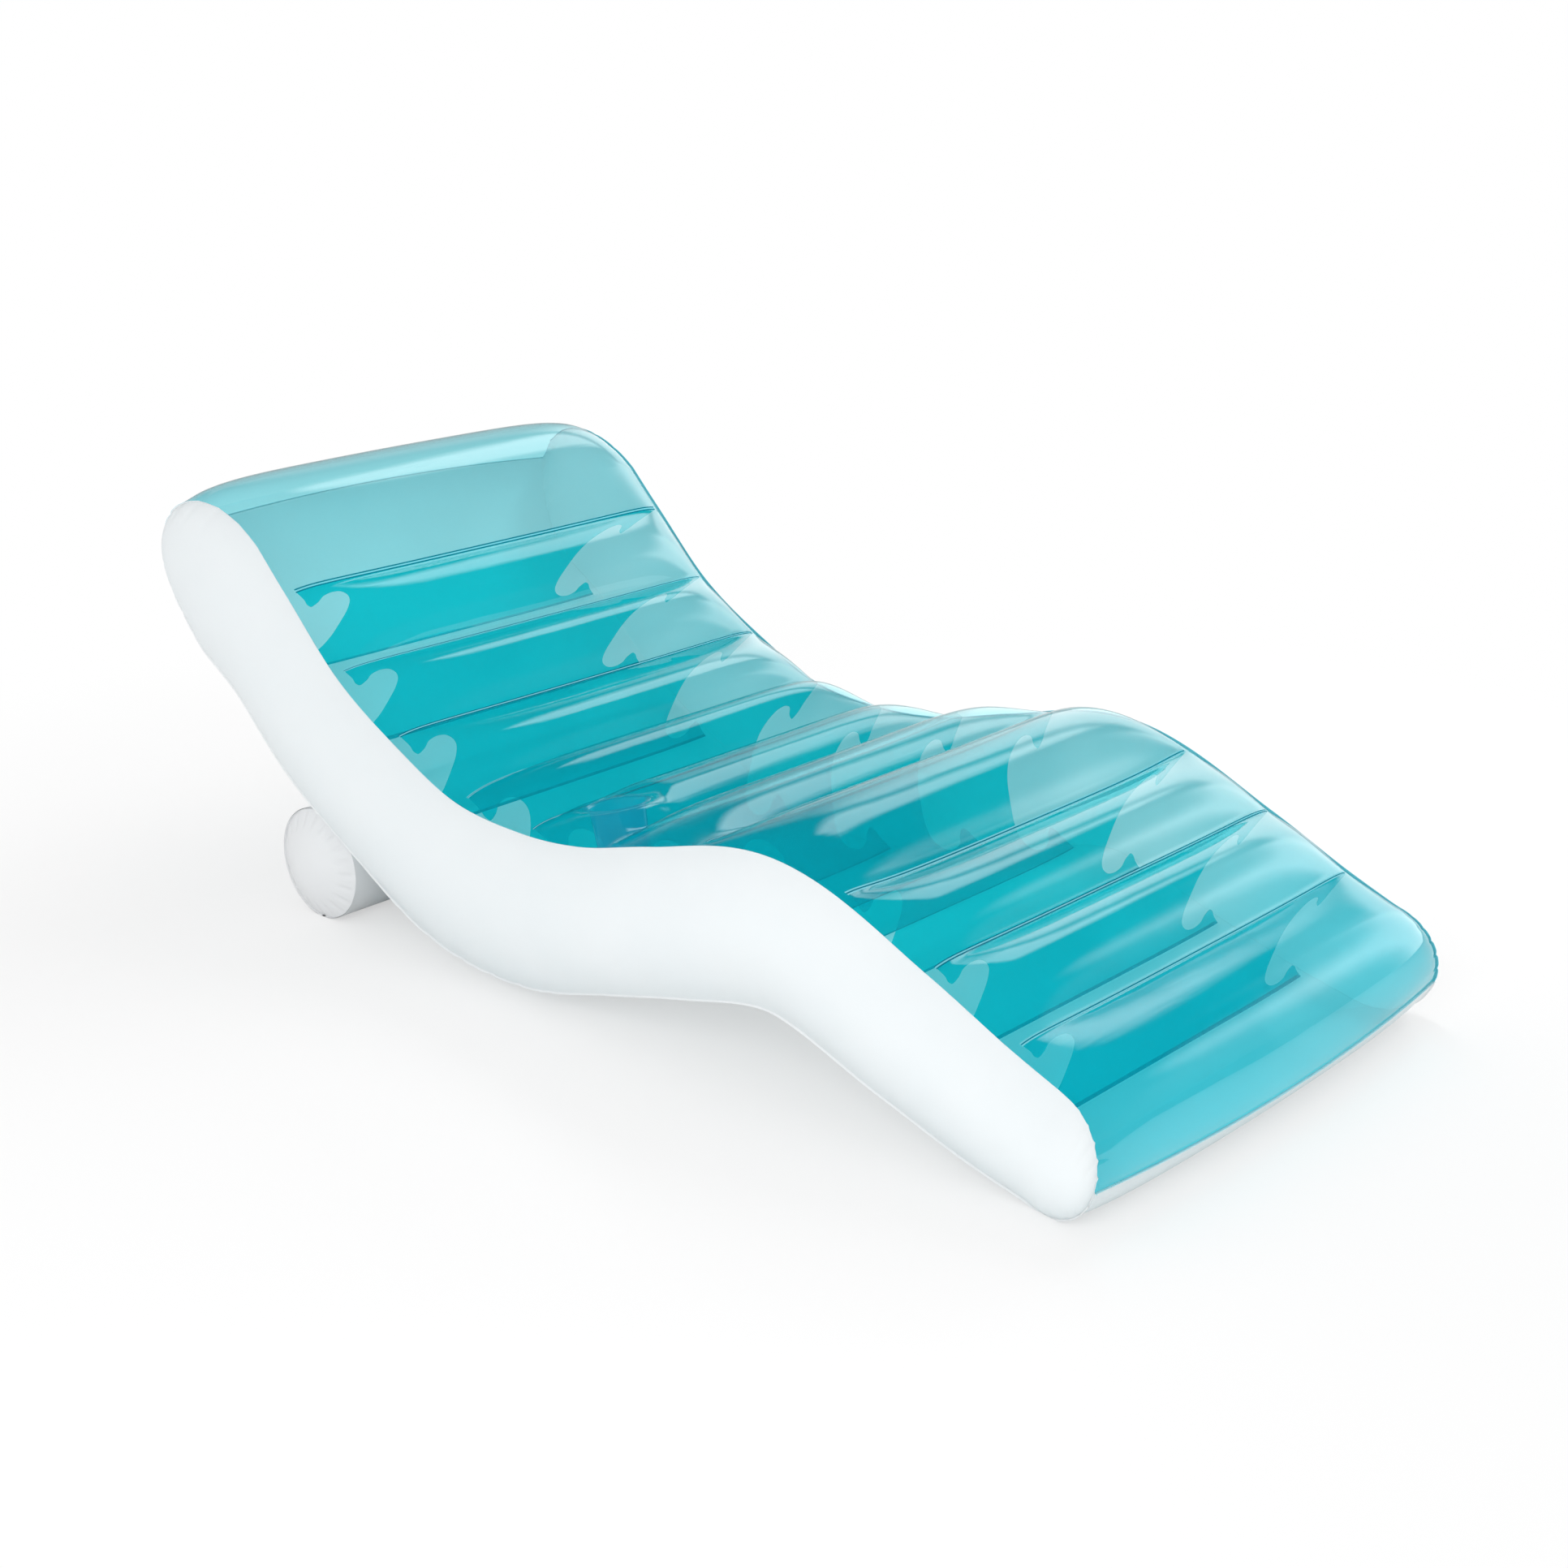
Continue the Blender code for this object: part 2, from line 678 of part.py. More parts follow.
def air_valve(prefix, place, material, collection, helpers):
    """A seat with its boot, a stem that slides in it, and a plug on a strap that swings off the stem."""
    disc, boot, stem = valve_disc / 2, boot_diameter / 2, stem_diameter / 2
    throat = stem + boot_clearance
    seat_profile = [(disc, weld_gap), (boot, weld_gap), (boot, -boot_depth), (throat, -boot_depth)]
    seat = turned(f"{prefix}_seat", seat_profile, valve_segments, False, material, collection)
    solidify(seat, valve_wall, -1)
    seat.matrix_world = place

    collar_foot = weld_gap + valve_wall + stem_travel_room
    collar_top = collar_foot + collar_height
    collar, bore = collar_diameter / 2, stem_bore / 2
    stem_foot = collar_top - stem_length
    stem_profile = [
        (collar, collar_top),
        (collar, collar_foot),
        (stem, collar_foot),
        (stem, stem_foot),
        (bore, stem_foot),
        (bore, collar_top),
    ]
    tube = turned(f"{prefix}_stem", stem_profile, valve_segments, True, material, collection)
    hinge_x = collar + strap_reach
    half_strap = strap_width / 2
    lug = box(
        f"{prefix}_lug",
        (collar - joint_overlap, -half_strap, collar_foot),
        (hinge_x, half_strap, collar_top),
        None,
        helpers,
    )
    lug.hide_render = True
    lug.display_type = "WIRE"
    lug.matrix_world = place
    boolean(tube, "UNION", lug)
    tube.matrix_world = place

    cap, stopper = cap_diameter / 2, bore - stopper_clearance
    hinge = Vector((hinge_x, 0, collar_top + stem_travel_room))
    plug_profile = [
        (0, cap_height),
        (cap, cap_height),
        (cap, 0),
        (stopper, 0),
        (stopper - stopper_taper, -stopper_length),
        (0, -stopper_length),
    ]
    plug = turned(f"{prefix}_plug", plug_profile, valve_segments, False, material, collection)
    strap = box(
        f"{prefix}_strap",
        (cap - joint_overlap, -half_strap, 0),
        (hinge_x, half_strap, strap_thickness),
        None,
        helpers,
    )
    strap.hide_render = True
    strap.display_type = "WIRE"
    centre = place @ Matrix.Translation((0, 0, hinge.z))
    strap.matrix_world = centre
    plug.matrix_world = centre
    boolean(plug, "UNION", strap)
    return place @ hinge, place.to_3x3() @ Vector((0, 1, 0))


def main():
    for obj in list(bpy.data.objects):
        bpy.data.objects.remove(obj)
    mat = bpy.data.collections.new("inflatable_floating_mat")
    helpers = bpy.data.collections.new("cutters_and_helpers")
    for collection in (mat, helpers):
        bpy.context.scene.collection.children.link(collection)

    teal = principled("clear_teal_vinyl", (0.27, 0.65, 0.71), 0.08, 0.55)
    white = principled("white_vinyl", (0.88, 0.89, 0.9), 0.35, 1)
    blue = principled("clear_blue_vinyl", (0.05, 0.55, 0.72), 0.08, 0.6)
    clear = principled("clear_valve_vinyl", (0.85, 0.9, 0.92), 0.2, 0.8)

    section = Section()
    stand_on_floor(section)
    grids = {1: sheet_grid(section, 1), -1: sheet_grid(section, -1)}
    press_on_floor(grids[-1])
    cup = Patch(section, grids[1], cup_chamber, 1, -1)
    valve = Patch(section, grids[-1], valve_chamber, -1, -1)

    top = add_object("top_sheet", grid_mesh("top_sheet", grids[1], False), teal, mat)
    bottom = add_object("bottom_sheet", grid_mesh("bottom_sheet", grids[-1], True), white, mat)
    for sheet in (top, bottom):
        solidify(sheet, vinyl, 1)
    side_panel("side_panel_right", section, -1, white, mat)
    side_panel("side_panel_left", section, 1, white, mat)
    for index in range(len(section.welds)):
        baffle(section, grids, index, teal, mat, helpers)

    along = Vector((cup.normal.z, 0, -cup.normal.x))
    cup_place = frame(cup.outer, cup.normal, along)
    cut_hole(top, cup_place, cup_holder(cup_place, blue, mat), helpers)

    along = Vector((valve.normal.z, 0, -valve.normal.x))
    valve_place = frame(valve.outer, valve.normal, along)
    cut_hole(bottom, valve_place, boot_diameter / 2 + boot_clearance, helpers)
    hinges = {"main_valve": air_valve("main_valve", valve_place, clear, mat, helpers)}
    bolster_place = bolster(bolster_centre(section, grids[-1]), white, mat)
    hinges["bolster_valve"] = air_valve("bolster_valve", bolster_place, clear, mat, helpers)

    for name, (point, axis) in hinges.items():
        print(name, "strap axis passes", [round(value, 5) for value in point], "along", [round(v, 5) for v in axis])
    print("cup rim centre", [round(value, 5) for value in cup.outer], "axis", [round(v, 5) for v in cup.normal])
    print("valve seat centre", [round(value, 5) for value in valve.outer], "axis", [round(v, 5) for v in valve.normal])


main()
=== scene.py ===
"""Looks of the inflatable lounge mat.

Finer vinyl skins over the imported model, with their materials, light and camera.
Metres, +Z up, the head at -X and the foot at +X, the user's right hand side at -Y.
The shape functions repeat those of the part's source with more columns and rows.
"""

import math

import bmesh
import bpy
import numpy as np
from mathutils import Matrix, Vector


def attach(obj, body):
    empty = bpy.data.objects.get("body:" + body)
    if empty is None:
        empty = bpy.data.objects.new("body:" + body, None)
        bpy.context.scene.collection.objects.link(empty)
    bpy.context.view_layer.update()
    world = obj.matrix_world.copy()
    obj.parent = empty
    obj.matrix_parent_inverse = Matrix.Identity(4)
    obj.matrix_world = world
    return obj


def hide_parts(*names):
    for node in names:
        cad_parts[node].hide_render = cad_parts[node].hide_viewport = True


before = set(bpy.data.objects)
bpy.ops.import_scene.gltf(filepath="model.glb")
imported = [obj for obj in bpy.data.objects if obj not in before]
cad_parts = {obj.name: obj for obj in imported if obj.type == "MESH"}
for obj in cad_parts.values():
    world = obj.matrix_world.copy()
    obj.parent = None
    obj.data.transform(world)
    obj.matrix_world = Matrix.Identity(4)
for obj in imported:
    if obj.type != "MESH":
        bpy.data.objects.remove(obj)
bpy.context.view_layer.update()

# Section of the mat, as in the part's source
body_length = 1.91
body_height = 0.665
seam_width = 0.83
thickness = 0.25
midline_shares = (
    (-0.405, 0.764, 1.040),
    (-0.372, 0.686, 0.968),
    (-0.304, 0.503, 0.946),
    (-0.225, 0.364, 0.950),
    (-0.141, 0.251, 0.995),
    (-0.052, 0.228, 0.977),
    (0.026, 0.263, 0.879),
    (0.105, 0.320, 0.875),
    (0.204, 0.376, 0.887),
    (0.330, 0.260, 0.828),
    (0.401, 0.181, 0.752),
    (0.453, 0.133, 0.686),
)
baffle_shares = (0.0506, 0.1402, 0.2375, 0.3496, 0.4559, 0.5640, 0.6669, 0.7741, 0.8631, 0.9495)
head_reach_share = 1.42
foot_reach_share = 1.0
head_seam_turn = math.radians(15)
foot_seam_turn = math.radians(-3)
head_flare = 0.008
foot_flare = 0.020
flare_length = 0.10
flare_power = 1.5

# Vinyl and its welds
vinyl = 0.0005
weld_gap = 0.0003
lip = 0.0035
lip_slant = 0.7
weld_band = 0.006
weld_line = 0.0020

# How far air pushes each surface out
top_crest_share = 0.215
bottom_crest_share = 0.1
crest_power = 6
top_end_crest = 0.016
bottom_end_crest = 0.006
top_rises = (0.012, 0.012, 0.013, 0.013, 0.028, 0.012, 0.003, -0.007, -0.008, 0.010, 0.006, 0.010)
bottom_rise = 0.006
lobe_rise = 0.012
lobe_outer_power = 16
lobe_inner_power = 4
end_crown = 0.022
panel_bulge = 0.042
panel_power = 0.9
panel_end_power = 0.55

# Puckers of the side seams. Round an end they deepen by the growth, up to their whole depth.
# Those below the seat are deepest at the middle, and have faded out at the reach, both as shares
# of the midline's length. From a seam they fade down the side panel, and across the sheet by
# the power.
pucker_depth = 0.0035
pucker_spacing = 0.055
pucker_sharpness = 3
pucker_fade = 1.8
pucker_power = 6
end_puckers = 6
end_pucker_growth = 1.6
seat_puckers_middle = 0.42
seat_puckers_reach = 0.16

# Moves the section so that the mat stands on the floor, as in the part's source
floor_shift = (-0.00968, -0.00231)

# Baffle webs: how an end is cut, as shares of the cut's depth and of half the height
web_half_width_share = 0.964
end_cut = 0.143
end_cut_shares = (
    (0.0, 0.0),
    (0.19, 0.22),
    (0.30, 0.37),
    (0.37, 0.42),
    (0.43, 0.35),
    (0.46, 0.22),
    (0.53, 0.18),
    (0.65, 0.19),
    (0.80, 0.29),
    (0.92, 0.45),
    (0.985, 0.68),
    (1.0, 1.0),
)

# Cup holder
cup_centre = Vector((-0.01565, -0.30482, 0.31071))
cup_axis = Vector((-0.2004, 0, 0.97971)).normalized()
cup_bore = 0.084
cup_depth = 0.070
cup_rim = 0.009
cup_draft = 0.003
cup_corner = 0.006
cup_flat = 0.053
cup_free = 0.085

# Bolster
bolster_radius = 0.0935
bolster_length = 0.80
bolster_dome = 0.034
bolster_pucker = 0.006
bolster_puckers = 20
bolster_press_gap = 0.0008
bolster_x = -0.6124
bolster_z = 0.09305

# Air valves
valve_disc = 0.036
valve_free = 0.040
valve_wall = 0.0008
boot_diameter = 0.0205
boot_depth = 0.017
boot_clearance = 0.0004
stem_diameter = 0.017
stem_bore = 0.009
stem_length = 0.018
stem_travel_room = 0.0003
collar_diameter = 0.020
collar_height = 0.0015
cap_diameter = 0.015
cap_height = 0.0018
stopper_length = 0.006
stopper_taper = 0.0012
stopper_clearance = 0.0002
strap_width = 0.005
strap_reach = 0.0045
strap_thickness = 0.0010
main_valve_centre = Vector((-0.75036, -0.30482, 0.29925))
main_valve_axis = Vector((-0.71018, 0, -0.70402)).normalized()
bolster_valve_centre = Vector((-0.6124, 0.43259, 0.09305))

# Patterns on the vinyl, in cells to a metre
film_waves = 7  # waves of 143 mm
film_streaks = (26, 2.6, 26)  # streaks 38 mm wide and 385 mm long
vinyl_clouds = 6  # patches of 167 mm
vinyl_ripples = 14  # ripples of 71 mm
moulding_ripples = 160  # ripples of 6 mm, since a mould's real grain is too fine to show

# Painted shade: where the film's tint is deepened towards the ends: X where that begins, and where
# it is whole
head_painted_shade_span = (-0.76, -0.91)
foot_painted_shade_span = (0.62, 0.90)

# Share of the light that both faces of a vinyl film mirror: head on, what is added at a glance,
# and how fast that grows
mirror_share = 0.077
mirror_gain = 0.85
mirror_power = 4.5

# Share of the light that white film lets through, and that a moulding's body holds back
white_glow = 0.08
moulding_body = 0.62

# Lamps: name, place, what they point at, direction of the long side, sizes and watts
lamps = (
    ("strip_bank", (-0.25, 1.25, 2.25), (0.1, 0, 0.3), (0.9, -0.45, 0), (2.2, 0.35), 15),
    ("back_panel", (0.6, 3.0, 1.6), (0.2, 0, 0.4), (1, 0, 0), (1.6, 1.4), 18),
    ("head_fill", (-2.2, -2.4, 1.0), (-0.6, -0.4, 0.2), (1, 0, 0), (1.4, 1.4), 5),
    ("front_softbox", (1.6, -2.9, 1.9), (0.3, -0.4, 0.3), (1, 0, 0), (1.6, 1.6), 34),
)
room_light = 0.75
floor_glow = (0.52, 1.0)
floor_glow_span = (0.9, 2.2)

# What glossy skins mirror: each row is a patch of the room, the product of soft steps.
# A step has what it reads, where it starts and ends, and the brightness at both.
mirrored_patches = (
    (("height", 0.34, 0.52, 0.5, 0), ("towards_foot", 0.60, 0.85, 1, 0.15)),
    (
        ("height", -0.60, -0.40, 0, 2.3),
        ("height", 0.46, 0.62, 1, 0),
        ("bearing", 0.98, 1.18, 0, 1),
        ("bearing", 1.66, 1.80, 1, 0),
    ),
    (
        ("height", -0.60, -0.40, 0, 1.4),
        ("height", 0.40, 0.50, 1, 0),
        ("bearing", 1.66, 1.80, 0, 1),
        ("bearing", 2.18, 2.36, 1, 0),
    ),
    (
        ("height", 0.46, 0.54, 0, 2.2),
        ("height", 0.70, 0.76, 1, 0),
        ("bearing", 1.86, 1.98, 0, 1),
        ("bearing", 2.16, 2.28, 1, 0),
    ),
)
dark_room = 0.02
foot_bearing = (0.966, 0.259, 0)

# Camera, fitted to the mat's outline and weld lines in the photograph
camera_place = (2.4242, -2.664, 1.5083)
camera_down = math.radians(19.02)
camera_turn = math.radians(41.80)
sensor_width = 36
focal_share = 3000 / 1932

half_width = seam_width / 2
quarter_turn = math.pi / 2


def linear(hex_colour):
    """Colour that a hex string stands for, as Blender's shaders take it."""
    channels = [int(hex_colour[i : i + 2], 16) / 255 for i in (0, 2, 4)]
    return (*(c / 12.92 if c <= 0.04045 else ((c + 0.055) / 1.055) ** 2.4 for c in channels), 1)


def add_node(tree, kind, inputs=None, **settings):
    """A shader node with these settings. Inputs are values, or sockets to link from."""
    node = tree.nodes.new(kind)
    for key, value in settings.items():
        setattr(node, key, value)
    for key, value in (inputs or {}).items():
        if isinstance(value, bpy.types.NodeSocket):
            tree.links.new(value, node.inputs[key])
        else:
            node.inputs[key].default_value = value
    return node


def new_material(name):
    material = bpy.data.materials.new(name)
    material.use_nodes = True
    material.node_tree.nodes.clear()
    return material, material.node_tree


def ripples(tree, scale, strength, distance, detail=2):
    """Slight unevenness of a vinyl skin, as a bump."""
    place = add_node(tree, "ShaderNodeTexCoord").outputs["Object"]
    noise = add_node(
        tree, "ShaderNodeTexNoise", {"Vector": place, "Scale": scale, "Detail": detail}
    )
    bump = add_node(
        tree,
        "ShaderNodeBump",
        {"Height": noise.outputs["Fac"], "Strength": strength, "Distance": distance},
    )
    return bump.outputs["Normal"]


def stretched_film(tree, place):
    """Slight waves of an inflated film, and finer streaks from its pull across the mat."""
    waves = add_node(
        tree, "ShaderNodeTexNoise", {"Vector": place, "Scale": film_waves, "Detail": 2}
    )
    pulled = add_node(tree, "ShaderNodeMapping", {"Vector": place, "Scale": film_streaks})
    streaks = add_node(
        tree, "ShaderNodeTexNoise", {"Vector": pulled.outputs[0], "Scale": 1, "Detail": 3}
    )
    first = add_node(
        tree,
        "ShaderNodeBump",
        {"Height": waves.outputs["Fac"], "Strength": 0.10, "Distance": 0.004},
    )
    second = add_node(
        tree,
        "ShaderNodeBump",
        {
            "Height": streaks.outputs["Fac"],
            "Strength": 0.22,
            "Distance": 0.002,
            "Normal": first.outputs["Normal"],
        },
    )
    return second.outputs["Normal"]


def clear_film(name, tint, milk, haze, roughness=0.045, gloss=1.0, painted_shade_tints=None):
    """Calendered clear vinyl film, 0.5 mm thick.

    It tints what lies behind it, has some milk in it, and both its faces mirror the
    room, little head on and much at a glance. Painted shade tints are the deeper tints painted
    at the head and foot as shade.
    """
    material, tree = new_material(name)
    place = add_node(tree, "ShaderNodeTexCoord").outputs["Object"]
    through = add_node(tree, "ShaderNodeBsdfTransparent", {"Color": linear(tint)})
    # Painted shade: the tint is deepened towards the head and foot
    if painted_shade_tints:
        along = add_node(tree, "ShaderNodeSeparateXYZ", {0: place}).outputs["X"]
        colour = linear(tint)
        for painted_shade_tint, (begins, whole) in zip(painted_shade_tints, (head_painted_shade_span, foot_painted_shade_span)):
            share = add_node(
                tree,
                "ShaderNodeMapRange",
                {"Value": along, "From Min": begins, "From Max": whole},
                interpolation_type="SMOOTHSTEP",
            )
            tints = add_node(
                tree,
                "ShaderNodeMix",
                {0: share.outputs[0], 6: colour, 7: linear(painted_shade_tint)},
                data_type="RGBA",
            )
            colour = tints.outputs[2]
        tree.links.new(colour, through.inputs["Color"])
    lit = add_node(tree, "ShaderNodeBsdfDiffuse", {"Color": linear(milk)})
    lit_through = add_node(tree, "ShaderNodeBsdfTranslucent", {"Color": linear(milk)})
    milky = add_node(
        tree, "ShaderNodeMixShader", {0: 0.5, 1: lit.outputs[0], 2: lit_through.outputs[0]}
    )
    body = add_node(
        tree, "ShaderNodeMixShader", {0: haze, 1: through.outputs[0], 2: milky.outputs[0]}
    )
    normal = stretched_film(tree, place)
    shine = add_node(tree, "ShaderNodeBsdfGlossy", {"Roughness": roughness, "Normal": normal})
    facing = add_node(tree, "ShaderNodeLayerWeight", {"Blend": 0.5, "Normal": normal})
    steep = add_node(
        tree, "ShaderNodeMath", {0: facing.outputs["Facing"], 1: mirror_power}, operation="POWER"
    )
    share = add_node(
        tree,
        "ShaderNodeMath",
        {0: steep.outputs[0], 1: mirror_gain * gloss, 2: mirror_share * gloss},
        operation="MULTIPLY_ADD",
    )
    mix = add_node(
        tree, "ShaderNodeMixShader", {0: share.outputs[0], 1: body.outputs[0], 2: shine.outputs[0]}
    )
    add_node(tree, "ShaderNodeOutputMaterial", {"Surface": mix.outputs[0]})
    return material


def white_vinyl():
    """Calendered white vinyl film.

    Its satin skin spreads a soft sheen, its white is slightly uneven, and it is thin
    enough to let some light through.
    """
    material, tree = new_material("white_vinyl_film")
    place = add_node(tree, "ShaderNodeTexCoord").outputs["Object"]
    cloud = add_node(
        tree, "ShaderNodeTexNoise", {"Vector": place, "Scale": vinyl_clouds, "Detail": 3}
    )
    colour = add_node(
        tree,
        "ShaderNodeMix",
        {0: cloud.outputs["Fac"], 6: linear("edf0f2"), 7: linear("f4f5f6")},
        data_type="RGBA",
    )
    gloss = add_node(
        tree,
        "ShaderNodeMapRange",
        {"Value": cloud.outputs["Fac"], "To Min": 0.30, "To Max": 0.40},
    )
    shader = add_node(
        tree,
        "ShaderNodeBsdfPrincipled",
        {
            "Base Color": colour.outputs[2],
            "Roughness": gloss.outputs[0],
            "IOR": 1.5,
            "Normal": ripples(tree, vinyl_ripples, 0.22, 0.008, 8),
        },
    )
    glow = add_node(tree, "ShaderNodeBsdfTranslucent", {"Color": colour.outputs[2]})
    mix = add_node(
        tree, "ShaderNodeMixShader", {0: white_glow, 1: shader.outputs[0], 2: glow.outputs[0]}
    )
    add_node(tree, "ShaderNodeOutputMaterial", {"Surface": mix.outputs[0]})
    return material


def moulded_vinyl():
    """Soft clear vinyl, injection moulded: thick enough to look milky, with a dull gloss."""
    material, tree = new_material("moulded_clear_vinyl")
    normal = ripples(tree, moulding_ripples, 0.15, 0.002)
    skin = add_node(
        tree,
        "ShaderNodeBsdfPrincipled",
        {"Base Color": linear("dfe9ec"), "Roughness": 0.22, "IOR": 1.5, "Normal": normal},
    )
    through = add_node(tree, "ShaderNodeBsdfTransparent", {"Color": linear("e6f2f4")})
    mix = add_node(
        tree, "ShaderNodeMixShader", {0: moulding_body, 1: through.outputs[0], 2: skin.outputs[0]}
    )
    add_node(tree, "ShaderNodeOutputMaterial", {"Surface": mix.outputs[0]})
    return material


def smooth_path(knots, steps):
    """Points on a curve of continuous direction through knots that are unevenly spaced."""
    knots = np.array(knots, dtype=float)
    chords = np.linalg.norm(np.diff(knots, axis=0), axis=1)[:, None]
    slopes = np.diff(knots, axis=0) / chords
    inner = (slopes[:-1] * chords[1:] + slopes[1:] * chords[:-1]) / (chords[:-1] + chords[1:])
    directions = np.vstack([slopes[:1], inner, slopes[-1:]])
    share = (np.arange(steps) / steps)[:, None]
    points = []
    for index, chord in enumerate(chords):
        leave, arrive = directions[index] * chord, directions[index + 1] * chord
        points.append(
            (2 * share**3 - 3 * share**2 + 1) * knots[index]
            + (share**3 - 2 * share**2 + share) * leave
            + (3 * share**2 - 2 * share**3) * knots[index + 1]
            + (share**3 - share**2) * arrive
        )
    return np.vstack([*points, knots[-1:]])


class Section:
    """The S-shaped midline, with the thickness that the baffles give the mat along it."""

    def __init__(self):
        path = smooth_path(np.array(midline_shares) * (body_length, body_height, thickness / 2), 60)
        self.points, self.radii = path[:, :2], path[:, 2]
        steps = np.linalg.norm(np.diff(self.points, axis=0), axis=1)
        self.distances = np.concatenate([[0], np.cumsum(steps)])
        self.length = self.distances[-1]
        directions = np.gradient(self.points, self.distances, axis=0)
        self.directions = directions / np.linalg.norm(directions, axis=1)[:, None]
        self.welds = [share * self.length for share in baffle_shares]
        self.points = self.points + floor_shift

    def at(self, distance):
        """Point, direction and upward normal at this distance from the midline's head end."""
        x, z = (np.interp(distance, self.distances, self.points[:, axis]) for axis in (0, 1))
        u, w = (np.interp(distance, self.distances, self.directions[:, axis]) for axis in (0, 1))
        direction = Vector((u, 0, w)).normalized()
        return Vector((x, 0, z)), direction, Vector((-direction.z, 0, direction.x))

    def radius(self, distance):
        return float(np.interp(distance, self.distances, self.radii))

    def end_arc(self, end, turn):
        """Length of a sheet round an end, from where the end begins to this turn."""
        radius = self.radii[0] if end < 0 else self.radii[-1]
        return radius * (1 + reach_share(end)) / 2 * (quarter_turn - turn)

    def crest(self, place, face):
        """How far air lifts a sheet between the welds here, at the middle of the mat."""
        head_seam = -self.end_arc(-1, seam_turn(-1, face))
        foot_seam = self.length + self.end_arc(1, seam_turn(1, face))
        ends = [head_seam, *self.welds, foot_seam]
        index = int(np.clip(np.searchsorted(ends, place, side="right"), 1, len(ends) - 1))
        start, end = ends[index - 1], ends[index]
        whole = 1 < index < len(ends) - 1
        if index < len(ends) - 1:
            end -= weld_band
        along = min(max((place - start) / (end - start), 0), 1)
        share = top_crest_share if face > 0 else bottom_crest_share
        end_crest = top_end_crest if face > 0 else bottom_end_crest
        return (share * (end - start) if whole else end_crest) * 4 * along * (1 - along)

    def rise(self, distance, across, face):
        """How far a sheet stands off its side seams along a weld, at a share of the half width."""
        lift = bottom_rise
        lobe = 0
        if face > 0:
            lift = float(np.interp(distance, [0, *self.welds, self.length], top_rises))
            lobe = lobe_rise * (1 - across**lobe_outer_power) * across**lobe_inner_power
        return lift * (1 - across**crest_power) + lobe


def reach_share(end):
    return head_reach_share if end < 0 else foot_reach_share


def seam_turn(end, face):
    """Turn from the midline to an end's seam, towards this face."""
    return -face * (head_seam_turn if end < 0 else foot_seam_turn)


class Column:
    """A line across the mat, at a distance along the midline or part of the way round an end."""

    def __init__(self, distance, end=0, wrap=0, lip_out=0):
        self.distance, self.end, self.wrap, self.lip_out = distance, end, wrap, lip_out

    def turn(self, face):
        return quarter_turn - (quarter_turn - seam_turn(self.end, face)) * self.wrap

    def rim(self, section, face, radius):
        """Point of the mat's outline on this face, and the direction out of the mat there."""
        centre, direction, normal = section.at(self.distance)
        turn = self.turn(face)
        outward = direction * self.end
        reach = reach_share(self.end)
        rim = outward * math.cos(turn) * reach + normal * (face * math.sin(turn))
        out = outward * math.cos(turn) / reach + normal * (face * math.sin(turn))
        return centre + rim * radius, out.normalized()

    def half_width(self, section):
        """Half of the mat's width between its side seams, which flare towards the corners."""
        if not self.end:
            reach = 0
            near_end = -1 if self.distance < section.length / 2 else 1
        else:
            near_end = self.end
            reach = section.radius(self.distance) * reach_share(near_end) * math.cos(self.turn(1))
        to_end = self.distance if near_end < 0 else section.length - self.distance
        whole_reach = section.radius(0 if near_end < 0 else section.length) * reach_share(near_end)
        share = min(max(1 - (to_end + whole_reach - reach) / flare_length, 0), 1) ** flare_power
        return half_width + (head_flare if near_end < 0 else foot_flare) * share


def end_columns(section, end, steps):
    """Columns round an end, from where it begins to its seam's lip."""
    distance = 0 if end < 0 else section.length
    columns = [Column(distance, end, (step + 1) / steps) for step in range(steps)]
    return columns + [Column(distance, end, 1, lip)]


def mat_columns(section, turns=48, chamber_steps=22):
    """Columns from the head's lip to the foot's, with narrow ones at the edges of each weld."""
    columns = list(reversed(end_columns(section, -1, turns)))
    start = 0
    for weld in [*section.welds, section.length]:
        last = weld == section.length
        end = weld if last else weld - weld_band
        for step in range(chamber_steps + last):
            columns.append(Column(start + (end - start) * step / chamber_steps))
        if not last:
            columns += [Column(end), Column(end + weld_line), Column(weld - weld_line)]
        start = weld
    return columns + end_columns(section, 1, turns)


def pucker(section, column, face):
    """How far its puckers draw a side seam in, round the ends and below the seat."""
    if column.end:
        wave = math.cos(2 * math.pi * end_puckers * column.wrap)
        share = min(column.wrap * end_pucker_growth, 1)
    elif face < 0:
        wave = math.cos(2 * math.pi * column.distance / pucker_spacing)
        from_middle = abs(column.distance / section.length - seat_puckers_middle)
        share = max(1 - from_middle / seat_puckers_reach, 0)
    else:
        return 0
    return pucker_depth * share * max(wave, 0) ** pucker_sharpness


def sheet_rows(steps=52, spread=0.9):
    """Rows across a sheet, closer together towards its side seams, with a lip past each."""
    half = [(math.sin(quarter_turn * step / steps) ** spread, 0) for step in range(steps + 1)]
    half.append((1, lip))
    return [(-share, past) for share, past in reversed(half[1:])] + half


def sheet_point(section, column, row, face):
    """A point of a sheet's inner face: face is 1 for the top sheet and -1 for the bottom one."""
    share, past = row
    past *= lip_slant
    across = abs(share)
    rim, out = column.rim(section, face, section.radius(column.distance))
    _, direction, _ = section.at(column.distance)
    crown = end_crown * (1 - across**2) * column.wrap**2 * column.end
    rise = section.rise(column.distance, across, face) * (1 - column.wrap**2)
    place = column.distance + column.end * section.end_arc(column.end, column.turn(face))
    bulge = rise + section.crest(place, face) * (1 - across**crest_power)
    if face < 0:
        bulge = min(bulge, room_to_bolster(rim, out))
    point = rim + out * (weld_gap / 2 + bulge + column.lip_out + past) + direction * crown
    side = math.copysign(1, share)
    y = share * column.half_width(section) + side * past
    y -= side * pucker(section, column, face) * across**pucker_power
    return Vector((point.x, y, point.z))


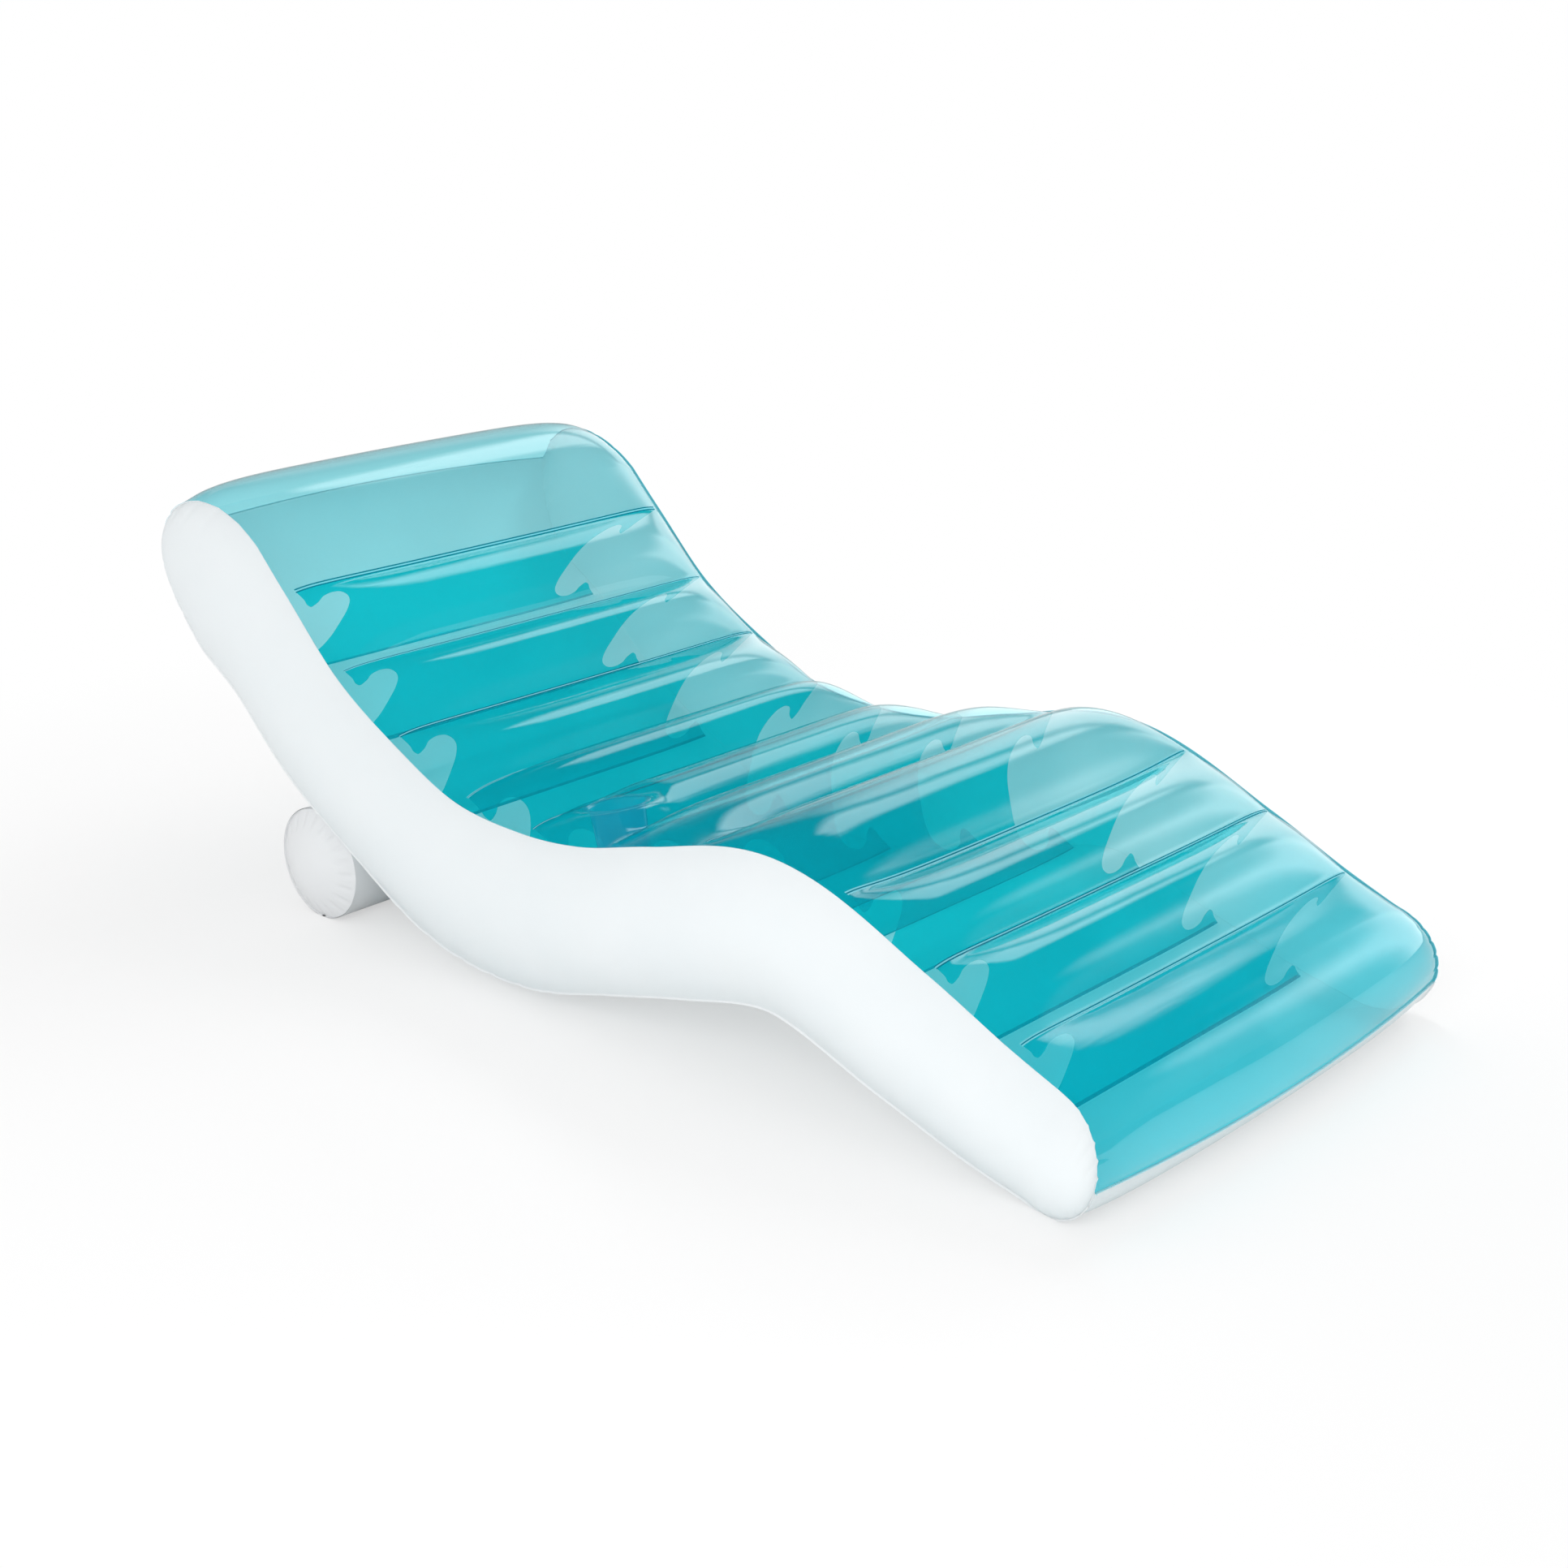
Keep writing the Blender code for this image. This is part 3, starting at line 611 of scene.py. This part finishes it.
def room_to_bolster(rim, out):
    """How far the underside can bulge from this point before it presses on the bolster."""
    away = rim - Vector((bolster_x, 0, bolster_z))
    nearing = -away.dot(out)
    reach = bolster_radius + vinyl + bolster_press_gap
    inside = nearing**2 - away.length_squared + reach**2
    if nearing < 0 or inside < 0:
        return math.inf
    return max(nearing - math.sqrt(inside), 0)


def panel_point(section, column, row, past, side):
    """A point of a side panel's inner face, which bulges between the two seams."""
    radius = section.radius(column.distance)
    top, top_out = column.rim(section, 1, radius - weld_gap / 2)
    bottom, bottom_out = column.rim(section, -1, radius - weld_gap / 2)
    point = (top + bottom) / 2 + (top - bottom) * (row / 2)
    fullness = (top - bottom).length / (2 * radius)
    power = panel_power + (panel_end_power - panel_power) * column.wrap
    bulge = panel_bulge * (1 - row**2) ** power * fullness
    if past:
        point += (top_out if row > 0 else bottom_out) * past * lip_slant
    near_seam = max(abs(row) * pucker_fade - (pucker_fade - 1), 0)
    bulge -= pucker(section, column, 1 if row > 0 else -1) * near_seam
    y = side * (column.half_width(section) + bulge + past * lip_slant)
    return Vector((point.x, y, max(point.z, vinyl)))


def skin(name, lines, face_finish=None):
    """A vinyl skin through these lines of points.

    Face_finish gives the number of a face's material from its column and row.
    """
    columns, rows = len(lines) - 1, len(lines[0]) - 1
    bm = bmesh.new()
    bmesh.ops.create_grid(bm, x_segments=columns, y_segments=rows, size=1)
    places = {}
    for vert in bm.verts:
        across, along = (vert.co.x + 1) / 2, (vert.co.y + 1) / 2
        places[vert] = (round(across * columns), round(along * rows))
    for face in bm.faces:
        face.smooth = True
        if face_finish:
            corners = [places[vert] for vert in face.verts]
            first_column, first_row = (min(corner[axis] for corner in corners) for axis in (0, 1))
            face.material_index = face_finish(first_column, first_row)
    for vert, (column, row) in places.items():
        vert.co = lines[column][row]
    return new_piece(name, bm)


def declare_film(piece):
    """Measures the area of a piece's faces, and does nothing with it."""
    bm = bmesh.new()
    bm.from_mesh(piece.data)
    area = sum(face.calc_area() for face in bm.faces)
    bm.free()


def new_piece(name, bm):
    mesh = bpy.data.meshes.new(name)
    bm.to_mesh(mesh)
    bm.free()
    piece = bpy.data.objects.new(name, mesh)
    bpy.context.scene.collection.objects.link(piece)
    return piece


def finish_piece(piece, body, slot, *materials):
    for material in materials:
        piece.data.materials.append(material)
    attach(piece, body)


def point_outwards(piece, inside):
    """Turns the faces of an open skin away from this point of its inside."""
    mesh = piece.data
    bm = bmesh.new()
    bm.from_mesh(mesh)
    face = max(bm.faces, key=lambda f: f.calc_area())
    if face.normal.dot(face.calc_center_median() - inside) < 0:
        bmesh.ops.reverse_faces(bm, faces=bm.faces)
    bm.to_mesh(mesh)
    bm.free()


def flatten(lines, centre, axis, flat, free, slack=0.05):
    """Presses a skin flat under a welded fitting, and lets it rise again by the free radius.

    Slack is how far from the fitting's plane the skin may lie.
    """
    for line in lines:
        for index, point in enumerate(line):
            away = point - centre
            height = away.dot(axis)
            radius = (away - axis * height).length
            if radius < free and abs(height) < slack:
                share = min(max((radius - flat) / (free - flat), 0), 1)
                share = share * share * (3 - 2 * share)
                line[index] = point - axis * ((height + vinyl) * (1 - share))


def open_round(piece, centre, axis, radius, slack, cuts, finer=1.5, drawn=1.4):
    """A round hole in a skin.

    Faces near it are made finer, those inside it go, and the edge is drawn onto the
    circle. Slack is how far from the centre's plane the skin may lie. Finer and drawn
    are how far out faces are split and the edge is looked for, in radii.
    """
    bm = bmesh.new()
    bm.from_mesh(piece.data)

    def from_axis(point):
        away = point - centre
        return away - axis * away.dot(axis), abs(away.dot(axis))

    near = set()
    for edge in bm.edges:
        away, height = from_axis((edge.verts[0].co + edge.verts[1].co) / 2)
        if away.length < radius * finer and height < slack:
            near.add(edge)
    bmesh.ops.subdivide_edges(bm, edges=list(near), cuts=cuts, use_grid_fill=True)
    inside = []
    for face in bm.faces:
        away, height = from_axis(face.calc_center_median())
        if away.length < radius and height < slack:
            inside.append(face)
    bmesh.ops.delete(bm, geom=inside, context="FACES")
    for vert in bm.verts:
        away, height = from_axis(vert.co)
        if vert.is_boundary and away.length < radius * drawn and height < slack:
            vert.co += away.normalized() * (radius - away.length)
    bm.to_mesh(piece.data)
    bm.free()


def frame_at(origin, axis, side):
    """A placement whose Z lies on the axis and whose X lies on the side."""
    axis, side = axis.normalized(), side.normalized()
    rotation = Matrix((side, axis.cross(side), axis)).transposed()
    return Matrix.Translation(origin) @ rotation.to_4x4()


def turned(name, profile, place, segments=96):
    """A profile of radius and height, turned round Z and set in its place."""
    bm = bmesh.new()
    verts = [bm.verts.new((radius, 0, height)) for radius, height in profile]
    edges = [bm.edges.new(pair) for pair in zip(verts, verts[1:])]
    bmesh.ops.spin(
        bm,
        geom=verts + edges,
        cent=(0, 0, 0),
        axis=(0, 0, 1),
        angle=2 * math.pi,
        steps=segments,
        use_merge=True,
    )
    bmesh.ops.remove_doubles(bm, verts=bm.verts, dist=0.00001)
    bmesh.ops.recalc_face_normals(bm, faces=bm.faces)
    bmesh.ops.transform(bm, matrix=place, verts=bm.verts)
    for face in bm.faces:
        face.smooth = True
    return new_piece(name, bm)


def round_corners(profile, radii, steps=4):
    """A profile with an arc of this radius at each inner corner."""
    rounded = [profile[0]]
    for before, corner, after, radius in zip(profile, profile[1:], profile[2:], radii):
        before, corner, after = Vector(before), Vector(corner), Vector(after)
        back, ahead = (before - corner).normalized(), (after - corner).normalized()
        if radius <= 0 or back.dot(ahead) < -0.999:
            rounded.append(tuple(corner))
            continue
        half_angle = back.angle(ahead) / 2
        room = min((before - corner).length, (after - corner).length) * 0.49
        reach = min(radius / math.tan(half_angle), room)
        start, end = corner + back * reach, corner + ahead * reach
        for step in range(steps + 1):
            share = step / steps
            point = start * (1 - share) ** 2 + corner * 2 * share * (1 - share) + end * share**2
            rounded.append(tuple(point))
    return rounded + [profile[-1]]


def cut_profile():
    """One quarter of a web's end, smoothed: from a sheet down to mid height."""
    return smooth_path(end_cut_shares, 5)[1:]


def baffle(section, index, steps=24):
    """A web with lobed ends, and the tabs that weld it to the two sheets."""
    weld = section.welds[index]
    centre, direction, normal = section.at(weld)
    end_y = half_width * web_half_width_share
    half = [math.sin(quarter_turn * step / steps) * end_y for step in range(steps + 1)]
    ys = [-y for y in reversed(half[1:])] + half
    bm = bmesh.new()
    edges = {}
    for face in (1, -1):
        column = Column(weld)
        edges[face] = []
        for y in ys:
            point = sheet_point(section, column, (y / column.half_width(section), 0), face)
            edges[face].append((y, (point - centre).dot(normal) - weld_gap * face))
    top, bottom = edges[1][-1][1], edges[-1][-1][1]
    middle = (top + bottom) / 2
    left_end = []
    for sheet in (bottom, top):
        cut = [
            (end_y - end_cut * inwards, sheet + (middle - sheet) * down)
            for inwards, down in cut_profile()
        ]
        left_end += cut if sheet == bottom else list(reversed(cut))[1:]
    right_end = [(-y, height) for y, height in reversed(left_end)]
    outline = [*edges[-1], *left_end, *reversed(edges[1]), *right_end]
    verts = [bm.verts.new(centre + Vector((0, y, 0)) + normal * height) for y, height in outline]
    loop = [bm.edges.new((verts[i - 1], verts[i])) for i in range(len(verts))]
    bmesh.ops.triangle_fill(bm, use_beauty=True, edges=loop, normal=direction)
    web = new_piece(f"baffle_web_{index + 1:02d}", bm)

    tabs = []
    for face in (1, -1):
        lines = []
        for distance in (weld - weld_band, weld):
            column = Column(distance)
            _, _, up = section.at(distance)
            line = []
            for y in ys:
                point = sheet_point(section, column, (y / column.half_width(section), 0), face)
                line.append(point - up * (face * weld_gap))
            lines.append(line)
        tabs.append(skin(f"{web.name}_tab", lines))
    join(web, tabs)
    return web


def join(piece, others):
    """Takes the meshes of these pieces into this one."""
    bm = bmesh.new()
    bm.from_mesh(piece.data)
    for other in others:
        bm.from_mesh(other.data)
        mesh = other.data
        bpy.data.objects.remove(other)
        bpy.data.meshes.remove(mesh)
    bm.to_mesh(piece.data)
    bm.free()


def top_finish(columns, rows):
    """Which finish a face of the top film takes.

    They are numbered as in mat_skins: film, weld edge, painted highlight line of the weld and
    pressed seam.
    """
    plain, weld_edge, painted_highlight, pressed = range(4)
    narrow = {}
    for index, (column, after) in enumerate(zip(columns, columns[1:])):
        width = after.distance - column.distance
        if abs(width - weld_line) < 0.00001:
            # The second narrow face of each weld takes its painted highlight
            narrow[index] = weld_edge if len(narrow) % 2 == 0 else painted_highlight
    last_column, last_row = len(columns) - 2, len(rows) - 2

    def finish(column, row):
        if row in (0, last_row) or column in (0, last_column):
            return pressed
        share = abs(rows[row][0] + rows[row + 1][0]) / 2
        if share < web_half_width_share:
            return narrow.get(column, plain)
        return plain

    return finish


def mat_skins(section, film, edge, weld_highlight, pressed, white):
    columns, rows = mat_columns(section), sheet_rows()
    lines = [[sheet_point(section, column, row, 1) for row in rows] for column in columns]
    flatten(lines, cup_centre, cup_axis, cup_flat, cup_free)
    top = skin("top_film", lines, top_finish(columns, rows))
    open_round(top, cup_centre, cup_axis, cup_bore / 2 + vinyl * 2, slack=0.02, cuts=1)
    point_outwards(top, Vector((0, 0, 0)))
    finish_piece(top, "mat", "clear_teal_vinyl", film, edge, weld_highlight, pressed)
    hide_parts("top_sheet")
    declare_film(top)

    lines = [[sheet_point(section, column, row, -1) for row in rows] for column in columns]
    for line in lines:
        for point in line:
            point.z = max(point.z, vinyl)
    flatten(lines, main_valve_centre, main_valve_axis, valve_disc / 2 + 0.002, valve_free)
    bottom = skin("bottom_skin", lines)
    boot_hole = boot_diameter / 2 + boot_clearance
    open_round(bottom, main_valve_centre, main_valve_axis, boot_hole, slack=0.01, cuts=3)
    point_outwards(bottom, Vector((0, 0, 1)))
    finish_piece(bottom, "mat", "white_vinyl", white)
    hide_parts("bottom_sheet")
    declare_film(bottom)


def side_panel(section, side, white, steps=24):
    rows = [(math.sin(quarter_turn * step / steps), 0) for step in range(-steps, steps + 1)]
    rows = [(-1, lip), *rows, (1, lip)]
    columns = [column for column in mat_columns(section) if not column.lip_out]
    lines = [[panel_point(section, column, *row, side) for row in rows] for column in columns]
    side_name = "right" if side < 0 else "left"
    panel = skin(f"side_skin_{side_name}", lines)
    point_outwards(panel, Vector((0, 0, 0.3)))
    finish_piece(panel, "mat", "white_vinyl", white)
    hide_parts(f"side_panel_{side_name}")
    declare_film(panel)


def cup_well(blue):
    """A formed well, hung by its rim on the top film."""
    bore = cup_bore / 2
    foot = bore - cup_draft
    # The rim with its weld, the wall, its lower corner, and a floor that stands up a little
    profile = [
        (bore + cup_rim, 0.0001),
        (bore + cup_rim - 0.0012, weld_gap + 0.0006),
        (bore + 0.0030, weld_gap + 0.0004),
        (bore, -0.0030),
        (foot, -cup_depth),
        (foot - 0.012, -cup_depth + 0.0005),
        (foot - 0.016, -cup_depth + 0.0020),
        (0, -cup_depth + 0.0022),
    ]
    corners = (0.0006, 0.0030, 0.004, cup_corner, 0.003, 0.003)
    profile = round_corners(profile, corners, steps=5)
    place = frame_at(cup_centre, cup_axis, Vector((cup_axis.z, 0, -cup_axis.x)))
    well = turned("cup_well", profile, place)
    finish_piece(well, "mat", "clear_blue_vinyl", blue)
    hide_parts("cup_holder")


def bolster(white, steps=24, dome_steps=20, segments=160):
    """The roll under the back: a sleeve and two domed end panels welded in its ends."""
    radius = bolster_radius
    half = bolster_length / 2
    along = frame_at(Vector((bolster_x, 0, bolster_z)), Vector((0, 1, 0)), Vector((0, 0, -1)))
    lengths = [half * math.sin(quarter_turn * step / steps) for step in range(-steps, steps + 1)]
    profile = [(radius, -half - lip), *((radius, y) for y in lengths), (radius, half + lip)]
    sleeve = turned("bolster_skin", profile, along, segments)
    pieces = [(sleeve, "bolster_sleeve")]
    skirt = radius - vinyl - weld_gap
    for side_name, side in (("right", -1), ("left", 1)):
        flat = valve_disc / 2 + 0.004
        turns = [quarter_turn * step / dome_steps for step in range(dome_steps + 1)]
        rings = [flat + (skirt - flat) * math.cos(turn) for turn in turns]
        profile = [(ring, bolster_dome * (1 - (ring / skirt) ** 2)) for ring in rings]
        profile.insert(0, (skirt, lip))
        profile.append((boot_diameter / 2 + boot_clearance if side > 0 else 0, profile[-1][1]))
        seam = Vector((bolster_x, side * half, bolster_z))
        place = frame_at(seam, Vector((0, side, 0)), Vector((0, 0, -1)))
        dome = turned(f"bolster_dome_{side_name}", profile, place, segments)
        for vert in dome.data.vertices:
            away = Vector((vert.co.x - bolster_x, vert.co.z - bolster_z))
            # Puckers lie in the outer third, deepest halfway across it
            share = max(away.length / skirt * 3 - 2, 0)
            wave = max(math.cos(bolster_puckers * math.atan2(away.y, away.x)), 0) ** 2
            vert.co.y -= side * 2 * share * max(1 - share, 0) * bolster_pucker * wave
        pieces.append((dome, f"bolster_end_{side_name}"))
    for piece, node in pieces:
        for vert in piece.data.vertices:
            vert.co.z = max(vert.co.z, vinyl)
        finish_piece(piece, "mat", "white_vinyl", white)
        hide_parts(node)
        declare_film(piece)


def soft_box(name, low, high, place):
    """A moulded block with rounded edges."""
    low, high = Vector(low), Vector(high)
    bm = bmesh.new()
    bmesh.ops.create_cube(bm, size=1)
    bmesh.ops.scale(bm, vec=high - low, verts=bm.verts)
    bmesh.ops.translate(bm, vec=(low + high) / 2, verts=bm.verts)
    bmesh.ops.bevel(
        bm,
        geom=bm.edges[:],
        offset=min(high - low) * 0.3,
        segments=3,
        profile=0.5,
        affect="EDGES",
        material=-1,
    )
    bmesh.ops.transform(bm, matrix=place, verts=bm.verts)
    for face in bm.faces:
        face.smooth = True
    return new_piece(name, bm)


def air_valve(prefix, place, clear, segments=72):
    """A seat with its boot, a stem that slides in it, and a plug on a strap."""
    disc, boot, stem, bore = valve_disc / 2, boot_diameter / 2, stem_diameter / 2, stem_bore / 2
    throat, fine = stem + boot_clearance, 0.0003
    seat_top = weld_gap + valve_wall
    # The boot, the disc with a raised ring near its edge, and the inside of the boot
    profile = [
        (throat, -boot_depth),
        (boot, -boot_depth),
        (boot, weld_gap),
        (disc, weld_gap),
        (disc - fine, seat_top),
        (disc - 0.0022, seat_top),
        (disc - 0.0026, seat_top + fine),
        (disc - 0.0034, seat_top + fine),
        (disc - 0.0038, seat_top),
        (boot - valve_wall, seat_top),
        (boot - valve_wall, valve_wall - boot_depth),
        (throat, valve_wall - boot_depth),
    ]
    profile = round_corners([*profile, profile[0]], [fine] * len(profile), steps=3)
    seat = turned(f"{prefix}_seat_ring", profile, place, segments)
    finish_piece(seat, "mat", "clear_valve_vinyl", clear)
    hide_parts(f"{prefix}_seat")

    collar_foot = seat_top + stem_travel_room
    collar_top = collar_foot + collar_height
    collar, foot = collar_diameter / 2, collar_top - stem_length
    # The bore, the stem's foot and wall, and the collar, which is dished round the bore
    profile = [
        (bore, collar_top),
        (bore, foot),
        (stem - 0.0006, foot),
        (stem, foot + 0.0012),
        (stem, collar_foot),
        (collar, collar_foot),
        (collar, collar_top),
        (bore + 0.0012, collar_top),
        (bore, collar_top - 0.0008),
        (bore, collar_top - 0.0012),
    ]
    profile = round_corners(profile[1:], [fine] * len(profile), steps=3) + [profile[1]]
    tube = turned(f"{prefix}_tube", profile, place, segments)
    hinge_x, half_strap = collar + strap_reach, strap_width / 2
    lug = soft_box(
        f"{prefix}_lug",
        (collar - 0.001, -half_strap, collar_foot),
        (hinge_x, half_strap, collar_top),
        place,
    )
    join(tube, [lug])
    finish_piece(tube, f"{prefix}_stem", "clear_valve_vinyl", clear)
    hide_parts(f"{prefix}_stem")

    lift = collar_top + stem_travel_room
    cap, stopper = cap_diameter / 2, bore - stopper_clearance
    # The cap with a dished top, and the stopper, necked below its root and tapered
    profile = [
        (0, cap_height * 0.6),
        (cap * 0.55, cap_height * 0.6),
        (cap * 0.7, cap_height),
        (cap, cap_height),
        (cap, 0),
        (stopper, 0),
        (stopper, -0.0018),
        (stopper - 0.0004, -0.0024),
        (stopper - 0.0002, -0.0034),
        (stopper - stopper_taper, -stopper_length),
        (0, -stopper_length),
    ]
    profile = round_corners(profile, [0.0004] * len(profile), steps=3)
    cap_place = place @ Matrix.Translation((0, 0, lift))
    plug = turned(f"{prefix}_cap", profile, cap_place, segments)
    strap = soft_box(
        f"{prefix}_strap",
        (cap - 0.001, -half_strap, 0),
        (hinge_x, half_strap, strap_thickness),
        cap_place,
    )
    tab = soft_box(
        f"{prefix}_tab",
        (-cap - 0.003, -0.002, cap_height * 0.3),
        (-cap + 0.001, 0.002, cap_height * 0.9),
        cap_place,
    )
    join(plug, [strap, tab])
    finish_piece(plug, f"{prefix}_plug", "clear_valve_vinyl", clear)
    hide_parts(f"{prefix}_plug")


def mirrored_room(tree):
    """Strength of what glossy skins mirror: pale walls under a dark ceiling, and bright windows."""
    direction = add_node(tree, "ShaderNodeTexCoord").outputs["Generated"]
    axes = add_node(tree, "ShaderNodeSeparateXYZ", {0: direction}).outputs
    bearing = add_node(tree, "ShaderNodeMath", {0: axes["Y"], 1: axes["X"]}, operation="ARCTAN2")
    towards_foot = add_node(
        tree, "ShaderNodeVectorMath", {0: direction, 1: foot_bearing}, operation="DOT_PRODUCT"
    )
    readings = {
        "height": axes["Z"],
        "bearing": bearing.outputs[0],
        "towards_foot": towards_foot.outputs["Value"],
    }
    room = dark_room
    for patch in mirrored_patches:
        product = 1
        for reading, starts, ends, before, after in patch:
            step = add_node(
                tree,
                "ShaderNodeMapRange",
                {
                    "Value": readings[reading],
                    "From Min": starts,
                    "From Max": ends,
                    "To Min": before,
                    "To Max": after,
                },
                interpolation_type="SMOOTHSTEP",
            )
            whole = add_node(
                tree, "ShaderNodeMath", {0: step.outputs[0], 1: product}, operation="MULTIPLY"
            )
            product = whole.outputs[0]
        total = add_node(tree, "ShaderNodeMath", {0: product, 1: room}, operation="ADD")
        room = total.outputs[0]
    return room


def studio_floor():
    """A matt white floor that takes the mat's shadow and is seen white further away."""
    bm = bmesh.new()
    bmesh.ops.create_grid(bm, x_segments=8, y_segments=8, size=60)
    floor = new_piece("studio_floor", bm)
    material, tree = new_material("matt_white_floor")
    matt = add_node(tree, "ShaderNodeBsdfDiffuse", {"Color": linear("f4f4f4")})
    place = add_node(tree, "ShaderNodeTexCoord").outputs["Object"]
    away = add_node(tree, "ShaderNodeVectorMath", {0: place}, operation="LENGTH")
    fade = add_node(
        tree,
        "ShaderNodeMapRange",
        {
            "Value": away.outputs["Value"],
            "From Min": floor_glow_span[0],
            "From Max": floor_glow_span[1],
            "To Min": floor_glow[0],
            "To Max": floor_glow[1],
        },
        interpolation_type="SMOOTHSTEP",
    )
    path = add_node(tree, "ShaderNodeLightPath")
    seen = add_node(
        tree,
        "ShaderNodeMath",
        {0: path.outputs["Is Camera Ray"], 1: fade.outputs[0]},
        operation="MULTIPLY",
    )
    glow = add_node(tree, "ShaderNodeEmission", {"Color": linear("ffffff"), "Strength": 1})
    both = add_node(
        tree, "ShaderNodeMixShader", {0: seen.outputs[0], 1: matt.outputs[0], 2: glow.outputs[0]}
    )
    add_node(tree, "ShaderNodeOutputMaterial", {"Surface": both.outputs[0]})
    floor.data.materials.append(material)


def studio_room():
    """The world: white to the camera, a plain light to matt skins, a room to glossy ones."""
    world = bpy.data.worlds.new("studio_white")
    bpy.context.scene.world = world
    world.use_nodes = True
    tree = world.node_tree
    tree.nodes.clear()
    path = add_node(tree, "ShaderNodeLightPath")
    shown = add_node(
        tree,
        "ShaderNodeMath",
        {0: path.outputs["Is Camera Ray"], 1: path.outputs["Is Transmission Ray"]},
        operation="MAXIMUM",
    )
    matt_light, mirrored, backdrop = (
        add_node(tree, "ShaderNodeBackground", {"Color": linear("ffffff"), "Strength": strength})
        for strength in (room_light, mirrored_room(tree), 1)
    )
    lit = add_node(
        tree,
        "ShaderNodeMixShader",
        {0: path.outputs["Is Glossy Ray"], 1: matt_light.outputs[0], 2: mirrored.outputs[0]},
    )
    sky = add_node(
        tree,
        "ShaderNodeMixShader",
        {0: shown.outputs[0], 1: lit.outputs[0], 2: backdrop.outputs[0]},
    )
    add_node(tree, "ShaderNodeOutputWorld", {"Surface": sky.outputs[0]})


def area_light(name, place, target, along, size, power):
    """A rectangular lamp with its long side along this direction, left out of reflections."""
    light = bpy.data.lights.new(name, "AREA")
    light.shape = "RECTANGLE"
    light.size, light.size_y = size
    light.energy = power
    lamp = bpy.data.objects.new(name, light)
    bpy.context.scene.collection.objects.link(lamp)
    back = (Vector(place) - Vector(target)).normalized()
    side = Vector(along) - back * back.dot(Vector(along))
    lamp.matrix_world = frame_at(Vector(place), back, side)
    lamp.visible_glossy = False


def camera():
    lens = bpy.data.cameras.new("camera")
    lens.sensor_width = sensor_width
    lens.lens = sensor_width * focal_share
    view = bpy.data.objects.new("camera", lens)
    bpy.context.scene.collection.objects.link(view)
    view.location = camera_place
    view.rotation_euler = (quarter_turn - camera_down, 0, camera_turn)
    bpy.context.scene.camera = view


def main():
    bpy.context.scene.view_settings.view_transform = "Standard"
    camera()
    studio_floor()
    studio_room()
    for lamp in lamps:
        area_light(*lamp)

    # Top film: calendered clear vinyl with a pale teal dye, glossy and nearly free of milk. Its
    # tint is deepened round both ends as painted shade.
    film = clear_film(
        "clear_teal_film", "d0fcff", "50c8d4", 0.01, painted_shade_tints=("bce8ee", "9bf7ff")
    )
    # Webs: the same vinyl with more dye and milk, so that they stand dark behind the top film
    web = clear_film("deep_teal_web_film", "27e2e6", "00f3ff", 0.2, 0.12, gloss=0.2)
    # Welds: film squeezed by the welding bar, dull and dark at its edges, with a pale line down its
    # middle that is a painted highlight
    edge = clear_film("weld_edge", "4fb9c8", "0c9cb2", 0.35, 0.2, gloss=0.15)
    # Painted highlight: pale milky film down the weld's middle stands in for light caught on it
    weld_highlight = clear_film("painted_highlight_weld_line", "c4f0f5", "b4f2f9", 0.75, 0.3, gloss=0.2)
    # Outer seams: film pressed flat onto the white sheet, so they are dull and a little milky
    pressed = clear_film("pressed_seam", "a4e6ee", "58bcca", 0.1, 0.15, gloss=0.2)
    # Cup well: thicker vinyl with a blue dye, vacuum formed, which clouds it and softens its gloss
    blue = clear_film("clear_blue_vinyl_well", "a0f1f9", "3cc4dc", 0.25, 0.06, gloss=0.6)
    clear = moulded_vinyl()
    white = white_vinyl()

    section = Section()
    mat_skins(section, film, edge, weld_highlight, pressed, white)
    for side in (-1, 1):
        side_panel(section, side, white)
    for index in range(len(section.welds)):
        divider = baffle(section, index)
        finish_piece(divider, "mat", "clear_teal_vinyl", web)
        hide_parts(f"baffle_{index + 1:02d}")
    cup_well(blue)
    bolster(white)
    side = Vector((main_valve_axis.z, 0, -main_valve_axis.x))
    air_valve("main_valve", frame_at(main_valve_centre, main_valve_axis, side), clear)
    bolster_place = frame_at(bolster_valve_centre, Vector((0, 1, 0)), Vector((0, 0, 1)))
    air_valve("bolster_valve", bolster_place, clear)


main()
